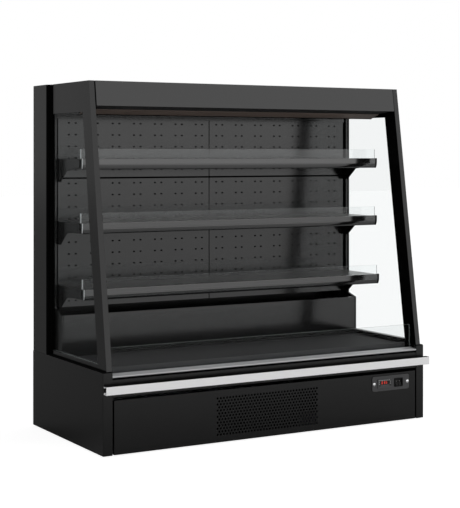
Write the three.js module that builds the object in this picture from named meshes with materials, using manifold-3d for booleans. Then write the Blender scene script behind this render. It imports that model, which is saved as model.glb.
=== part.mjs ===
// An open multideck display fridge, built as an assembly of separate pieces.
// Millimetres, +Z up. The open front faces -Y and x = 0 is the middle of the cabinet.
// Inside the assembly, y = 0 is the front of the base and z = 0 the lower edge of its panels.
import * as THREE from "three";
import { mergeVertices } from "three/addons/utils/BufferGeometryUtils.js";
import Module from "manifold-3d";

const wasm = await Module();
wasm.setup();

// ---------------------------------------------------------------- driving dimensions

// Stock and fits
const fit = 0.3; // gap between two pieces that touch
const liftGap = 2; // clearance round a piece that lifts out
const sheet = 2; // painted steel sheet
const bend = 4; // outer radius of a folded corner

// Envelope
const baseWidth = 1545;
const cabinetDepth = 716;
const cabinetHeight = 1450;
const baseHeight = 318;
const footGap = 6; // the base panels clear the floor by this much

// Base
const cornerPost = 40; // front face of each base end
const postReturn = 18; // fold of the post behind its front face
const trayFloor = 4; // underside of the chassis tray
const trayFlange = 34;
const ventTop = 214; // top of the tray's louvred rear wall
const louvreCount = 9;
const louvreLength = 90;
const louvreHeight = 9;
const louvreLevels = [0.45, 0.7]; // rows, as parts of the wall's height
const footRadius = 20;
const footPad = 5;
const footStem = 8;
const footInset = 75;

// Service panel
const panelFoot = 2;
const panelTop = 210;
const panelSeam = 7; // gap to each corner post
const panelReturn = 16;
const grilleCentre = -30;
const grilleColumns = 34;
const grilleRows = 13;
const grillePitchX = 14.47;
const grillePitchZ = 12.15;
const grilleBottom = 32; // centre of the lowest row
const grilleHole = 8.6; // diameter of a hole
const grilleHoleSides = 4;

// Controls on the service panel
const plateWidth = 197;
const plateHeight = 64;
const plateThickness = 3;
const plateRadius = 9;
const plateInset = 134; // middle of the plate from the panel's right end
const plateZ = 168;
const bezelWidth = 77;
const bezelHeight = 39;
const bezelProud = 3.4;
const bezelShift = -33.5; // thermostat from the middle of the plate
const thermostatDepth = 55;
const thermostatWall = 3; // bezel overhang round the thermostat body
const keyWidth = 7;
const keyHeight = 4;
const keyDepth = 3;
const keyProud = 0.8;
const keySpread = 27.5;
const keyDrop = 7.5;
const switchWidth = 46;
const switchHeight = 38;
const switchShift = 40.5; // switch housing from the middle of the plate
const switchProud = 2.6;
const switchDepth = 14;
const switchWall = 3;
const rockerWidth = 13.4;
const rockerHeight = 28.4;
const rockerGap = 0.5;
const rockerPost = 1.6; // bar between two switch windows
const rockerTilt = 0.14; // radians either side of level
const blankDepth = 5;

// Front edge: bumper, nose and front glass
const bumperReach = 36.4;
const bumperOverhang = 2.8;
const bumperBottom = 239;
const bumperHeight = 33;
const bumperDepth = 24;
const bumperWall = 2.5;
const bumperLip = 7.5;
const bumperBarHalf = 700;
const tubFace = 2; // front of the insulated tub behind the base front
const tubBottom = 222;
const insulation = 40;
const tubFrontTop = 289;
const tubFrontDepth = 58;
const tubRearDepth = 58;
const noseTop = 309;
const noseFall = 5; // drop of the nose's top face towards its front
const noseDepth = 40;
const noseLip = 7; // height of the nose's rounded front
const frontGlass = 8;
const frontGlassTop = 408;

// Well: deck, return grille, plenum
const deckFront = 80;
const deckLip = 8;
const returnTop = 300;
const returnSlots = 24;
const plenumReach = 93; // plenum's front face before the rear wall
const plenumHeight = 172; // above the base
const plenumLip = 20;
const plenumWindowHalf = 640;
const gussetRise = 22; // rise of the gusset from the plenum to the window

// Side frames
const frameInset = 16; // the frames stand in from the base ends
const frameThickness = 24;
const postFoot = 3; // foot of the slanted post behind the base front
const postLean = 169; // how far the post leans back over its height
const postBorder = 78; // post width beside the window
const sillHeight = 22; // window sill above the base
const topRail = 125;
const gasketDepth = 30; // from the frame's rear edge to the rear wall
const gasketUpright = 11; // the upright part fills only this much of it
const gasketThickness = 3;
const gasketInset = 1.5; // gasket behind the base end's outer face
const linerSetback = 2.5; // liner outside the frame's inner face
const linerThickness = 10;
const linerReach = 22; // the liner stands this far before the rear wall beside the pane
const paneThickness = 8;

// Rear wall and back panels
const wallDepth = 153;
const wallCorner = 8; // rounding of its front corners
const wallSkin = 60;
const cavitySide = 33;
const backStandoff = 11; // back panels' face before the rear wall
const backMargin = 9; // gap beside the panels, filled by an upright
const backFlange = 13;
const backDrop = 125; // top of the panels below the roof
const airGap = 21; // slot between the plenum and the panels
const upperPanel = 265; // height of the upper tier
const backSeam = 6;
const backMiddleSeam = 3.5;
const uprightWing = 15;
const uprightDepth = 44;

// Canopy
const roofThickness = 50;
const roofFront = 196;
const fasciaHeight = 100;
const fasciaReturn = 22;
const fasciaGap = 1.5;
const fasciaLeftGap = 5; // the fascia stops short of the left post
const dischargeFall = 9.5; // drop of the discharge grille towards the rear
const dischargeDepth = 89;
const dischargeThickness = 12;
const coverDepth = 59; // sloping light cover behind the grille
const coverFall = 18; // drop of the light cover towards the rear
const linerLip = 1.5;
const linerReturn = 17; // rear flange of the liner below the panels' top

// Shelves
const lowestShelf = 251; // foot of the lowest rail above the base
const topShelfDrop = 354; // foot of the top rail below the roof
const middleShift = 2.5; // middle shelf above halfway
const lowestReach = 280.5; // the lowest shelf stands out this far from the panels
const upperReach = 263.5;
const shelfClearance = 0.9; // rail end to side frame
const railHeight = 44;
const railDepth = 12;
const railTuck = 5; // how far the rail's lower part turns in
const railOverhang = 4.6; // rail end beyond the tray
const trayEdge = 42; // depth of the tray's side flanges
const trayRearEdge = 22;
const fenceHeight = 40;
const fenceThickness = 4;
const fenceSetback = 14.5;
const fenceInset = 2; // fence end short of the rail's
const bracketThickness = 3;
const bracketHeight = 97;
const bracketBlock = 48; // full-height length at the wall
const bracketArm = 92; // length of the bracket at the tray's flange
const bracketNose = 5; // drop of the bracket's arm below the tray's flange
const bracketTip = 20; // the bracket ends this far behind the tray's front

// Machinery
const coilFins = 16;
const condenserHalf = 190;
const condenserFront = 58;
const condenserDepth = 50;
const condenserHeight = 176;
const fanBlades = 5;
const condenserFanRadius = 72;
const evaporatorHalf = 600;
const evaporatorReach = 41; // coil's front face before the rear wall
const evaporatorDepth = 118;
const evaporatorHeight = 170;
const evaporatorFins = 22;
const evaporatorFanRadius = 66;
const evaporatorFanSpread = 330;
const motorPlateWidth = 120;
const motorPlateHeight = 48;
const bladeWidth = 26;
const motorRadius = 20;
const motorHub = 22; // fan hub radius
const motorDepth = 22;
const hubDepth = 18;
const compressorInset = 302.5; // middle of the can from the corner post
const compressorSetback = 286; // middle of the can before the cabinet's back
const compressorRadius = 78;
const compressorHeight = 172;

// ---------------------------------------------------------------- places worked out from them

const baseHalf = baseWidth / 2;
const baseInner = baseHalf - cornerPost;
const frameOuter = baseHalf - frameInset;
const frameInner = frameOuter - frameThickness;
const clearHalf = Math.min(baseInner, frameInner);
const tubHalf = baseInner - fit;
const tubFloor = tubBottom + insulation;
const tubRear = cabinetDepth - sheet - fit;
const frameFoot = baseHeight + fit + gasketThickness + fit;
const frameRear = cabinetDepth - wallDepth - gasketDepth;
const wallFront = cabinetDepth - wallDepth;
const linerFront = wallFront - linerReach;
const sill = baseHeight + sillHeight;
const windowHead = cabinetHeight - topRail;
const linerInner = frameInner + linerSetback;
const linerOuter = linerInner + linerThickness;
const fasciaFoot = cabinetHeight - fasciaHeight;
const trayFront = panelReturn + fit;
const noseRear = tubFace + noseDepth;
const noseFoot = tubFrontTop + fit;
const glassRear = noseRear + fit + frontGlass;
const plenumFront = wallFront - plenumReach;
const plenumTop = baseHeight + plenumHeight;
const gussetTop = plenumTop + gussetRise;
const backFace = wallFront - backStandoff;
const backHalf = linerInner - backMargin;
const backTop = cabinetHeight - backDrop;
const backBottom = plenumTop + airGap;
const railHalf = frameInner - shelfClearance;
const trayHalf = railHalf - railOverhang;
const evaporatorFront = wallFront - evaporatorReach;
const compressorX = baseInner - compressorInset;
const compressorY = cabinetDepth - compressorSetback;
const plateX = baseInner - panelSeam - plateInset;

// y of the slanted front plane at height z
const frontAt = (z) =>
  postFoot + (postLean * (z - baseHeight)) / (cabinetHeight - baseHeight);

// ---------------------------------------------------------------- finishes

const finish = (color, roughness, metalness, opacity = 1) =>
  new THREE.MeshStandardMaterial({
    color,
    roughness,
    metalness,
    opacity,
    transparent: opacity < 1,
  });
const charcoal = finish(0x2b2b2c, 0.45, 0);
const blackTrim = finish(0x0c0c0c, 0.6, 0);
const bareAluminium = finish(0x9a9c9c, 0.35, 1);
const brightAluminium = finish(0xd8d9da, 0.3, 1);
const railGrey = finish(0x4a4b4c, 0.35, 0);
const bareCopper = finish(0xb0714c, 0.4, 1);
const galvanised = finish(0x8c9092, 0.5, 1);
const clearGlass = finish(0xe8f0ee, 0.05, 0, 0.25);
const clearAcrylic = finish(0xf2f5f5, 0.08, 0, 0.35);
const whiteFoam = finish(0xcfd0cc, 0.8, 0);

// ---------------------------------------------------------------- modelling helpers

const axisX = new THREE.Vector3(1, 0, 0);
const axisY = new THREE.Vector3(0, 1, 0);
const axisZ = new THREE.Vector3(0, 0, 1);

function shapeOf(points, holes = []) {
  const shape = new THREE.Shape(points.map(([a, b]) => new THREE.Vector2(a, b)));
  shape.holes = holes.map(
    (hole) => new THREE.Path(hole.map(([a, b]) => new THREE.Vector2(a, b))),
  );
  return shape;
}

function extrude(shape, length, curveSegments) {
  return new THREE.ExtrudeGeometry(shape, {
    depth: length,
    bevelEnabled: false,
    curveSegments,
  });
}

// Profile in (y, z), run along x from x0 to x1
function alongX(shape, x0, x1, curveSegments = 4) {
  const turn = new THREE.Matrix4().makeBasis(axisY, axisZ, axisX);
  return extrude(shape, x1 - x0, curveSegments).applyMatrix4(turn).translate(x0, 0, 0);
}

// Profile in (x, z), run along y from y0 to y1
function alongY(shape, y0, y1, curveSegments = 4) {
  const turn = new THREE.Matrix4().makeBasis(axisX, axisZ, axisY.clone().negate());
  return extrude(shape, y1 - y0, curveSegments).applyMatrix4(turn).translate(0, y1, 0);
}

// Profile in (x, y), run up from z0 to z1
function alongZ(shape, z0, z1, curveSegments = 4) {
  return extrude(shape, z1 - z0, curveSegments).translate(0, 0, z0);
}

function block(x0, x1, y0, y1, z0, z1) {
  return new THREE.BoxGeometry(x1 - x0, y1 - y0, z1 - z0).translate(
    (x0 + x1) / 2,
    (y0 + y1) / 2,
    (z0 + z1) / 2,
  );
}

const rectangle = (a0, a1, b0, b1) => [
  [a0, b0],
  [a1, b0],
  [a1, b1],
  [a0, b1],
];

function roundedRectangle(width, height, radius, centreX, centreY) {
  const shape = new THREE.Shape();
  const x = centreX - width / 2;
  const y = centreY - height / 2;
  shape.moveTo(x + radius, y);
  shape.absarc(x + width - radius, y + radius, radius, -Math.PI / 2, 0, false);
  shape.absarc(x + width - radius, y + height - radius, radius, 0, Math.PI / 2, false);
  shape.absarc(x + radius, y + height - radius, radius, Math.PI / 2, Math.PI, false);
  shape.absarc(x + radius, y + radius, radius, Math.PI, 1.5 * Math.PI, false);
  return shape;
}

// A ring of points, first one at the given angle
function polygon(centreX, centreY, radius, sides, start = 0) {
  return Array.from({ length: sides }, (_, i) => {
    const angle = start + (2 * Math.PI * i) / sides;
    return [centreX + radius * Math.cos(angle), centreY + radius * Math.sin(angle)];
  });
}

function solidOf(geometry) {
  const bare = geometry.clone();
  bare.deleteAttribute("normal");
  bare.deleteAttribute("uv");
  const merged = mergeVertices(bare, 1e-4);
  return new wasm.Manifold(
    new wasm.Mesh({
      numProp: 3,
      vertProperties: new Float32Array(merged.attributes.position.array),
      triVerts: new Uint32Array(merged.index.array),
    }),
  );
}

function geometryOf(solid) {
  const mesh = solid.getMesh();
  const geometry = new THREE.BufferGeometry();
  geometry.setAttribute(
    "position",
    new THREE.BufferAttribute(new Float32Array(mesh.vertProperties), 3),
  );
  geometry.setIndex(new THREE.BufferAttribute(new Uint32Array(mesh.triVerts), 1));
  geometry.computeVertexNormals();
  return geometry;
}

const join = (first, ...rest) =>
  geometryOf(rest.reduce((sum, next) => sum.add(solidOf(next)), solidOf(first)));

const cut = (first, ...tools) =>
  geometryOf(tools.reduce((left, tool) => left.subtract(solidOf(tool)), solidOf(first)));

function piece(name, material, geometry) {
  const mesh = new THREE.Mesh(geometry, material);
  mesh.name = name;
  return mesh;
}

const sides = [
  { word: "left", sign: -1 },
  { word: "right", sign: 1 },
];

// The same (a, b) points with a mirrored to the given side
const mirrored = (points, sign) => points.map(([a, b]) => [sign * a, b]);

// From x = a to x = b on the given side
const span = (sign, a, b) => (sign > 0 ? [a, b] : [-b, -a]);

// ---------------------------------------------------------------- base

// Folded sheet end: corner post in front, side wall, rear return and top flange
function baseEnd({ word, sign }) {
  const arc = Array.from({ length: 3 }, (_, i) => {
    const angle = -Math.PI / 2 + (i * Math.PI) / 4;
    return [
      baseHalf - bend + bend * Math.cos(angle),
      bend + bend * Math.sin(angle),
    ];
  });
  const plan = [
    [baseInner, 0],
    ...arc,
    [baseHalf, cabinetDepth],
    [baseInner, cabinetDepth],
    [baseInner, cabinetDepth - sheet],
    [baseHalf - sheet, cabinetDepth - sheet],
    [baseHalf - sheet, bend],
    [baseHalf - bend, sheet],
    [baseInner + sheet, sheet],
    [baseInner + sheet, postReturn],
    [baseInner, postReturn],
  ];
  const top = [
    [baseInner, 0],
    ...arc,
    [baseHalf, cabinetDepth],
    [baseInner, cabinetDepth],
  ];
  const wall = alongZ(shapeOf(mirrored(plan, sign)), 0, baseHeight - sheet);
  const flange = alongZ(shapeOf(mirrored(top, sign)), baseHeight - sheet, baseHeight);
  return piece("base_end_" + word, charcoal, join(wall, flange));
}

// Tray that carries the machinery; its rear wall is folded up and louvred
function chassisTray() {
  const half = baseInner - fit;
  const rear = cabinetDepth - fit;
  const tray = alongY(
    shapeOf([
      [-half, trayFloor],
      [half, trayFloor],
      [half, trayFloor + trayFlange],
      [half - sheet, trayFloor + trayFlange],
      [half - sheet, trayFloor + sheet],
      [sheet - half, trayFloor + sheet],
      [sheet - half, trayFloor + trayFlange],
      [-half, trayFloor + trayFlange],
    ]),
    trayFront,
    rear,
  );
  const wall = block(-half, half, rear - sheet, rear, trayFloor, ventTop);
  const pitch = (2 * half) / (louvreCount + 1);
  const louvres = [];
  for (let column = 1; column <= louvreCount; column++) {
    for (const level of louvreLevels) {
      const x = -half + column * pitch;
      const z = ventTop * level;
      louvres.push(
        block(
          x - louvreLength / 2,
          x + louvreLength / 2,
          rear - sheet - 1,
          rear + 1,
          z,
          z + louvreHeight,
        ),
      );
    }
  }
  return piece("chassis_tray", galvanised, cut(join(tray, wall), ...louvres));
}

// Screw foot: pad on the floor, stem up to the tray
function levellingFoot(name, x, y) {
  const top = trayFloor - fit + footGap;
  const profile = [
    [0, 0],
    [footRadius, 0],
    [footRadius, footPad - 1],
    [footStem, footPad],
    [footStem, top],
    [0, top],
  ].map(([a, b]) => new THREE.Vector2(a, b));
  const foot = new THREE.LatheGeometry(profile, 12);
  foot.rotateX(Math.PI / 2).translate(x, y, -footGap);
  return piece(name, blackTrim, foot);
}

function levellingFeet() {
  const x = baseHalf - footInset;
  return [
    levellingFoot("levelling_foot_front_left", -x, footInset),
    levellingFoot("levelling_foot_front_right", x, footInset),
    levellingFoot("levelling_foot_rear_left", -x, cabinetDepth - footInset),
    levellingFoot("levelling_foot_rear_right", x, cabinetDepth - footInset),
  ];
}

// ---------------------------------------------------------------- service panel and controls

const bodyWidth = bezelWidth - 2 * thermostatWall;
const bodyHeight = bezelHeight - 2 * thermostatWall;
const thermostatX = plateX + bezelShift;
const switchX = plateX + switchShift;
const housingWidth = switchWidth - 2 * switchWall;
const housingHeight = switchHeight - 2 * switchWall;

// Cutter for the opening round a body on the panel, centred at the height of the plate
const openingFor = (centreX, width, height) =>
  block(
    centreX - width / 2 - fit,
    centreX + width / 2 + fit,
    -plateThickness - 2,
    sheet + 2,
    plateZ - height / 2 - fit,
    plateZ + height / 2 + fit,
  );

// Air intake: staggered rows of holes
function grilleHoles() {
  const holes = [];
  const halfRow = ((grilleColumns - 1) * grillePitchX) / 2;
  for (let row = 0; row < grilleRows; row++) {
    const count = grilleColumns - (row % 2);
    const start = grilleCentre - halfRow + ((row % 2) * grillePitchX) / 2;
    for (let column = 0; column < count; column++) {
      const x = start + column * grillePitchX;
      const z = grilleBottom + row * grillePitchZ;
      const outline = polygon(x, z, grilleHole / 2, grilleHoleSides);
      holes.push(alongY(shapeOf(outline), -1, sheet + 1));
    }
  }
  return holes;
}

function frontPanel() {
  const half = baseInner - panelSeam;
  return piece(
    "front_panel",
    charcoal,
    cut(
      block(-half, half, 0, panelReturn, panelFoot, panelTop),
      block(
        sheet - half,
        half - sheet,
        sheet,
        panelReturn + 1,
        panelFoot + sheet,
        panelTop - sheet,
      ),
      openingFor(thermostatX, bodyWidth, bodyHeight),
      openingFor(switchX, housingWidth, housingHeight),
      ...grilleHoles(),
    ),
  );
}

// Plate with the thermostat cut-out and a raised housing for the two rockers
const windowHeight = rockerHeight + 2 * rockerGap;
const windowWidth = rockerWidth + 2 * rockerGap;
const windowsWidth = housingWidth - 2;
const firstWindow = switchX - windowsWidth / 2;
const rockerCentres = [
  firstWindow + windowWidth / 2,
  firstWindow + windowWidth * 1.5 + rockerPost,
];

function controlPlate() {
  const rear = -fit;
  const front = rear - plateThickness;
  const plate = alongY(
    roundedRectangle(plateWidth, plateHeight, plateRadius, plateX, plateZ),
    front,
    rear,
    3,
  );
  const frame = alongY(
    roundedRectangle(switchWidth, switchHeight, 2, switchX, plateZ),
    front - switchProud,
    front + 1,
    2,
  );
  const housing = block(
    switchX - housingWidth / 2,
    switchX + housingWidth / 2,
    front,
    switchDepth,
    plateZ - housingHeight / 2,
    plateZ + housingHeight / 2,
  );
  const windows = rockerCentres.map((x) =>
    block(
      x - windowWidth / 2,
      x + windowWidth / 2,
      front - switchProud - 1,
      switchDepth + 1,
      plateZ - windowHeight / 2,
      plateZ + windowHeight / 2,
    ),
  );
  const blankStart = rockerCentres[1] + windowWidth / 2 + rockerPost;
  const blank = block(
    blankStart,
    firstWindow + windowsWidth,
    front - switchProud - 1,
    front - switchProud + blankDepth,
    plateZ - windowHeight / 2,
    plateZ + windowHeight / 2,
  );
  return piece(
    "control_plate",
    charcoal,
    cut(
      join(plate, frame, housing),
      openingFor(thermostatX, bodyWidth, bodyHeight),
      ...windows,
      blank,
    ),
  );
}

const bezelBack = -fit - plateThickness - fit;
const bezelFront = bezelBack - bezelProud;

function thermostat() {
  const bezel = alongY(
    roundedRectangle(bezelWidth, bezelHeight, 3, thermostatX, plateZ),
    bezelFront,
    bezelBack,
    2,
  );
  const body = block(
    thermostatX - bodyWidth / 2,
    thermostatX + bodyWidth / 2,
    bezelBack - 1,
    thermostatDepth,
    plateZ - bodyHeight / 2,
    plateZ + bodyHeight / 2,
  );
  const pockets = sides.map(({ sign }) => {
    const x = thermostatX + sign * keySpread;
    const z = plateZ - keyDrop;
    return block(
      x - keyWidth / 2 - fit,
      x + keyWidth / 2 + fit,
      bezelFront - 1,
      bezelFront + keyDepth + fit,
      z - keyHeight / 2 - fit,
      z + keyHeight / 2 + fit,
    );
  });
  return piece("thermostat", blackTrim, cut(join(bezel, body), ...pockets));
}

function thermostatKey({ word, sign }) {
  const front = bezelFront - keyProud;
  const back = front + keyDepth;
  const key = alongY(
    roundedRectangle(keyWidth, keyHeight, 1, thermostatX + sign * keySpread, plateZ - keyDrop),
    front,
    back,
    2,
  );
  return piece("thermostat_key_" + word, blackTrim, key);
}

// Two-faced rocker, tilted to its rest position about an axis along x
function rocker(name, centreX) {
  const plateFront = -fit - plateThickness - switchProud;
  const half = rockerHeight / 2;
  const profile = [
    [-3.6, -half],
    [-1.2, 0],
    [-3.6, half],
    [8, half * 0.6],
    [8, -half * 0.6],
  ];
  const body = alongX(shapeOf(profile), -rockerWidth / 2, rockerWidth / 2);
  body.rotateX(-rockerTilt).translate(centreX, plateFront + 2, plateZ);
  return piece(name, blackTrim, body);
}

// ---------------------------------------------------------------- tub and front edge

// Foam-filled well of the cabinet: floor, front wall and rear wall in one
function insulatedTub() {
  const profile = [
    [tubFace, tubBottom],
    [tubRear, tubBottom],
    [tubRear, baseHeight],
    [tubRear - tubRearDepth, baseHeight],
    [tubRear - tubRearDepth, tubFloor],
    [tubFace + tubFrontDepth, tubFloor],
    [tubFace + tubFrontDepth, tubFrontTop],
    [tubFace, tubFrontTop],
  ];
  return piece("insulated_tub", charcoal, alongX(shapeOf(profile), -tubHalf, tubHalf));
}

// C-shaped rail, open towards the cabinet
function bumperRail() {
  const half = baseHalf + bumperOverhang;
  const front = -bumperReach;
  const rear = front + bumperDepth;
  const top = bumperBottom + bumperHeight;
  const profile = [
    [front + 2, bumperBottom],
    [rear, bumperBottom],
    [rear, bumperBottom + bumperLip],
    [rear - bumperWall, bumperBottom + bumperLip],
    [rear - bumperWall, bumperBottom + bumperWall],
    [front + bumperWall, bumperBottom + bumperWall],
    [front + bumperWall, top - bumperWall],
    [rear - bumperWall, top - bumperWall],
    [rear - bumperWall, top - bumperLip],
    [rear, top - bumperLip],
    [rear, top],
    [front + 2, top],
    [front, top - 2],
    [front, bumperBottom + 2],
  ];
  return piece("bumper_rail", brightAluminium, alongX(shapeOf(profile), -half, half));
}

// Bar that the rail clips over, fixed to the tub's face
function bumperBar() {
  const low = bumperBottom + bumperLip + fit;
  const high = bumperBottom + bumperHeight - bumperLip - fit;
  return piece(
    "bumper_bar",
    blackTrim,
    block(
      -bumperBarHalf,
      bumperBarHalf,
      -bumperReach + bumperWall + fit,
      tubFace - fit,
      low,
      high,
    ),
  );
}

// Extruded nose: sloped top, rounded front, leg on the tub and a groove for the glass
function noseProfile() {
  const frontTop = noseTop - noseFall;
  const middle = frontTop - noseLip / 2;
  const radius = noseLip / 2;
  const round = Array.from({ length: 5 }, (_, i) => {
    const angle = Math.PI / 2 + (i * Math.PI) / 4;
    return [radius + radius * Math.cos(angle), middle + radius * Math.sin(angle)];
  });
  const profile = [
    [noseRear, noseTop],
    ...round,
    [tubFace + 12, frontTop - noseLip],
    [tubFace + 12, noseFoot],
    [tubFace + tubFrontDepth, noseFoot],
    [tubFace + tubFrontDepth, noseTop - 6],
    [glassRear + fit, noseTop - 6],
    [glassRear + fit, noseFoot + sheet],
    [noseRear, noseFoot + sheet],
  ];
  return piece(
    "nose_profile",
    bareAluminium,
    alongX(shapeOf(profile), -tubHalf, tubHalf),
  );
}

function frontGlassPane() {
  return piece(
    "front_glass",
    clearGlass,
    block(
      fit - clearHalf + 2,
      clearHalf - fit - 2,
      noseRear + fit,
      glassRear,
      noseFoot + sheet + fit,
      frontGlassTop,
    ),
  );
}

// ---------------------------------------------------------------- well

// Lift-out deck: side flanges stand on the tub floor, a small lip stops the goods
function deckPanel() {
  const half = clearHalf - liftGap;
  const rear = plenumFront - liftGap;
  const pan = alongY(
    shapeOf([
      [-half, tubFloor + fit],
      [sheet - half, tubFloor + fit],
      [sheet - half, baseHeight - sheet],
      [half - sheet, baseHeight - sheet],
      [half - sheet, tubFloor + fit],
      [half, tubFloor + fit],
      [half, baseHeight],
      [-half, baseHeight],
    ]),
    deckFront,
    rear,
  );
  const lip = block(
    -half,
    half,
    deckFront,
    deckFront + sheet,
    returnTop - 2,
    baseHeight + deckLip,
  );
  return piece("deck_panel", charcoal, join(pan, lip));
}

// Slotted strip over the air return, standing on the tub floor behind its front wall
function returnGrille() {
  const half = tubHalf - fit;
  const front = tubFace + tubFrontDepth + fit;
  const rear = deckFront - liftGap;
  const pitch = (2 * half) / returnSlots;
  const slots = Array.from({ length: returnSlots }, (_, i) => {
    const x = -half + (i + 0.5) * pitch;
    return block(
      x - pitch * 0.38,
      x + pitch * 0.38,
      front + 6,
      rear - 4,
      returnTop - sheet - 1,
      returnTop + 1,
    );
  });
  const top = block(-half, half, front, rear, returnTop - sheet, returnTop);
  const leg = block(-half, half, front, front + sheet, tubFloor + fit, returnTop - sheet / 2);
  return piece("return_grille", charcoal, cut(join(top, leg), ...slots));
}

// Cover of the air duct at the foot of the rear wall, open below the deck
function plenumCover() {
  const upperHalf = linerInner - fit;
  const lowerHalf = clearHalf - fit;
  const notch = sill + 1;
  const lower = block(
    -lowerHalf,
    lowerHalf,
    plenumFront,
    plenumFront + sheet,
    tubFloor + fit,
    notch + 1,
  );
  const intake = block(
    -plenumWindowHalf,
    plenumWindowHalf,
    plenumFront - 1,
    plenumFront + sheet + 1,
    tubFloor + 6,
    baseHeight - 8,
  );
  const upper = alongX(
    shapeOf([
      [plenumFront, notch],
      [plenumFront + sheet, notch],
      [plenumFront + sheet, plenumTop - sheet],
      [plenumFront + plenumLip, plenumTop],
      [plenumFront + plenumLip, plenumTop + sheet],
      [plenumFront + sheet, plenumTop],
      [plenumFront, plenumTop],
    ]),
    -upperHalf,
    upperHalf,
  );
  return piece("plenum_cover", charcoal, cut(join(lower, upper), intake));
}

// ---------------------------------------------------------------- sides

// Painted frame with a slanted post; its window runs back to the gasket.
// The liner inside it closes the window's rear edge and the end of the air duct.
function sideFrame({ word, sign }) {
  const frame = [
    [frontAt(frameFoot), frameFoot],
    [frameRear, frameFoot],
    [frameRear, sill],
    [frontAt(sill) + postBorder, sill],
    [frontAt(windowHead) + postBorder, windowHead],
    [frameRear, windowHead],
    [frameRear, cabinetHeight],
    [frontAt(cabinetHeight), cabinetHeight],
  ];
  const liner = [
    [plenumFront, frameFoot],
    [wallFront - fit, frameFoot],
    [wallFront - fit, cabinetHeight],
    [frameRear - 10, cabinetHeight],
    [frameRear - 10, windowHead + 5],
    [linerFront, windowHead + 5],
    [linerFront, gussetTop],
    [plenumFront, plenumTop],
  ];
  return piece(
    "side_frame_" + word,
    charcoal,
    join(
      alongX(shapeOf(frame), ...span(sign, frameInner, frameOuter)),
      alongX(shapeOf(liner), ...span(sign, linerInner, linerOuter)),
    ),
  );
}

function sideGlass({ word, sign }) {
  const inner = linerOuter + fit;
  const outline = [
    [frontAt(sill + fit) + postBorder + fit, sill + fit],
    [linerFront - fit, sill + fit],
    [linerFront - fit, windowHead - fit],
    [frontAt(windowHead - fit) + postBorder + fit, windowHead - fit],
  ];
  return piece(
    "side_glass_" + word,
    clearGlass,
    alongX(shapeOf(outline), ...span(sign, inner, inner + paneThickness)),
  );
}

// Black seal: under the frame on the base, and up between the frame and the rear wall
function sideGasket({ word, sign }) {
  const outer = baseHalf - gasketInset;
  const foot = baseHeight + fit;
  const level = alongX(
    shapeOf(rectangle(frontAt(foot), wallFront - fit, foot, foot + gasketThickness)),
    ...span(sign, frameInner, outer),
  );
  const upright = alongX(
    shapeOf(rectangle(wallFront - gasketUpright, wallFront - fit, foot, cabinetHeight)),
    ...span(sign, linerOuter + fit, frameOuter - fit),
  );
  return piece("side_gasket_" + word, blackTrim, join(level, upright));
}

// ---------------------------------------------------------------- rear wall

// Rounded front corner in (x, y), from the side face to the front face
function roundedCorner(x, y, radius, steps = 3) {
  return Array.from({ length: steps + 1 }, (_, i) => {
    const angle = (i * Math.PI) / 2 / steps;
    return [
      x - radius + radius * Math.cos(angle),
      y + radius - radius * Math.sin(angle),
    ];
  });
}

// Foam-filled back of the cabinet, hollowed in front for the air duct
function rearWall() {
  const cavityHalf = baseHalf - cavitySide;
  const corner = roundedCorner(baseHalf, wallFront, wallCorner);
  const plan = [
    ...corner.map(([x, y]) => [-x, y]),
    [-cavityHalf, wallFront],
    [-cavityHalf, cabinetDepth - wallSkin],
    [cavityHalf, cabinetDepth - wallSkin],
    [cavityHalf, wallFront],
    ...corner.slice().reverse(),
    [baseHalf, cabinetDepth - bend],
    [baseHalf - bend, cabinetDepth],
    [bend - baseHalf, cabinetDepth],
    [-baseHalf, cabinetDepth - bend],
  ];
  const lid = block(
    wallCorner - baseHalf,
    baseHalf - wallCorner,
    wallFront,
    cabinetDepth - bend,
    cabinetHeight - roofThickness,
    cabinetHeight,
  );
  const wall = alongZ(shapeOf(plan), baseHeight + fit, cabinetHeight);
  return piece("rear_wall", charcoal, join(wall, lid));
}

// Upright at each end of the back panels, which the shelf brackets hang on
function upright({ word, sign }) {
  const inner = backHalf + fit;
  const outer = linerInner - fit;
  const front = backFace + 4;
  const shoulder = backFace + sheet + backFlange + fit;
  const plan = [
    [inner, front],
    [outer, front],
    [outer, front + uprightDepth],
    [inner - uprightWing, front + uprightDepth],
    [inner - uprightWing, shoulder],
    [inner, shoulder],
  ];
  return piece(
    "upright_" + word,
    blackTrim,
    alongZ(shapeOf(mirrored(plan, sign)), frameFoot, backTop),
  );
}

// Sheet panel folded back at its sides, one of two tiers on each half
function backPanel(tier, { word, sign }, low, high) {
  const middle = backMiddleSeam / 2;
  const plan = [
    [middle, backFace],
    [backHalf, backFace],
    [backHalf, backFace + sheet + backFlange],
    [backHalf - sheet, backFace + sheet + backFlange],
    [backHalf - sheet, backFace + sheet],
    [middle + sheet, backFace + sheet],
    [middle + sheet, backFace + sheet + backFlange],
    [middle, backFace + sheet + backFlange],
  ];
  return piece(
    `back_panel_${tier}_${word}`,
    charcoal,
    alongZ(shapeOf(mirrored(plan, sign)), low, high),
  );
}

function backPanels() {
  return sides.flatMap((side) => [
    backPanel("lower", side, backBottom, backTop - upperPanel - backSeam),
    backPanel("upper", side, backTop - upperPanel, backTop),
  ]);
}

// ---------------------------------------------------------------- canopy

function roofPanel() {
  const half = frameInner - fit;
  return piece(
    "roof_panel",
    charcoal,
    block(-half, half, roofFront, wallFront - fit, cabinetHeight - roofThickness, cabinetHeight),
  );
}

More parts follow.
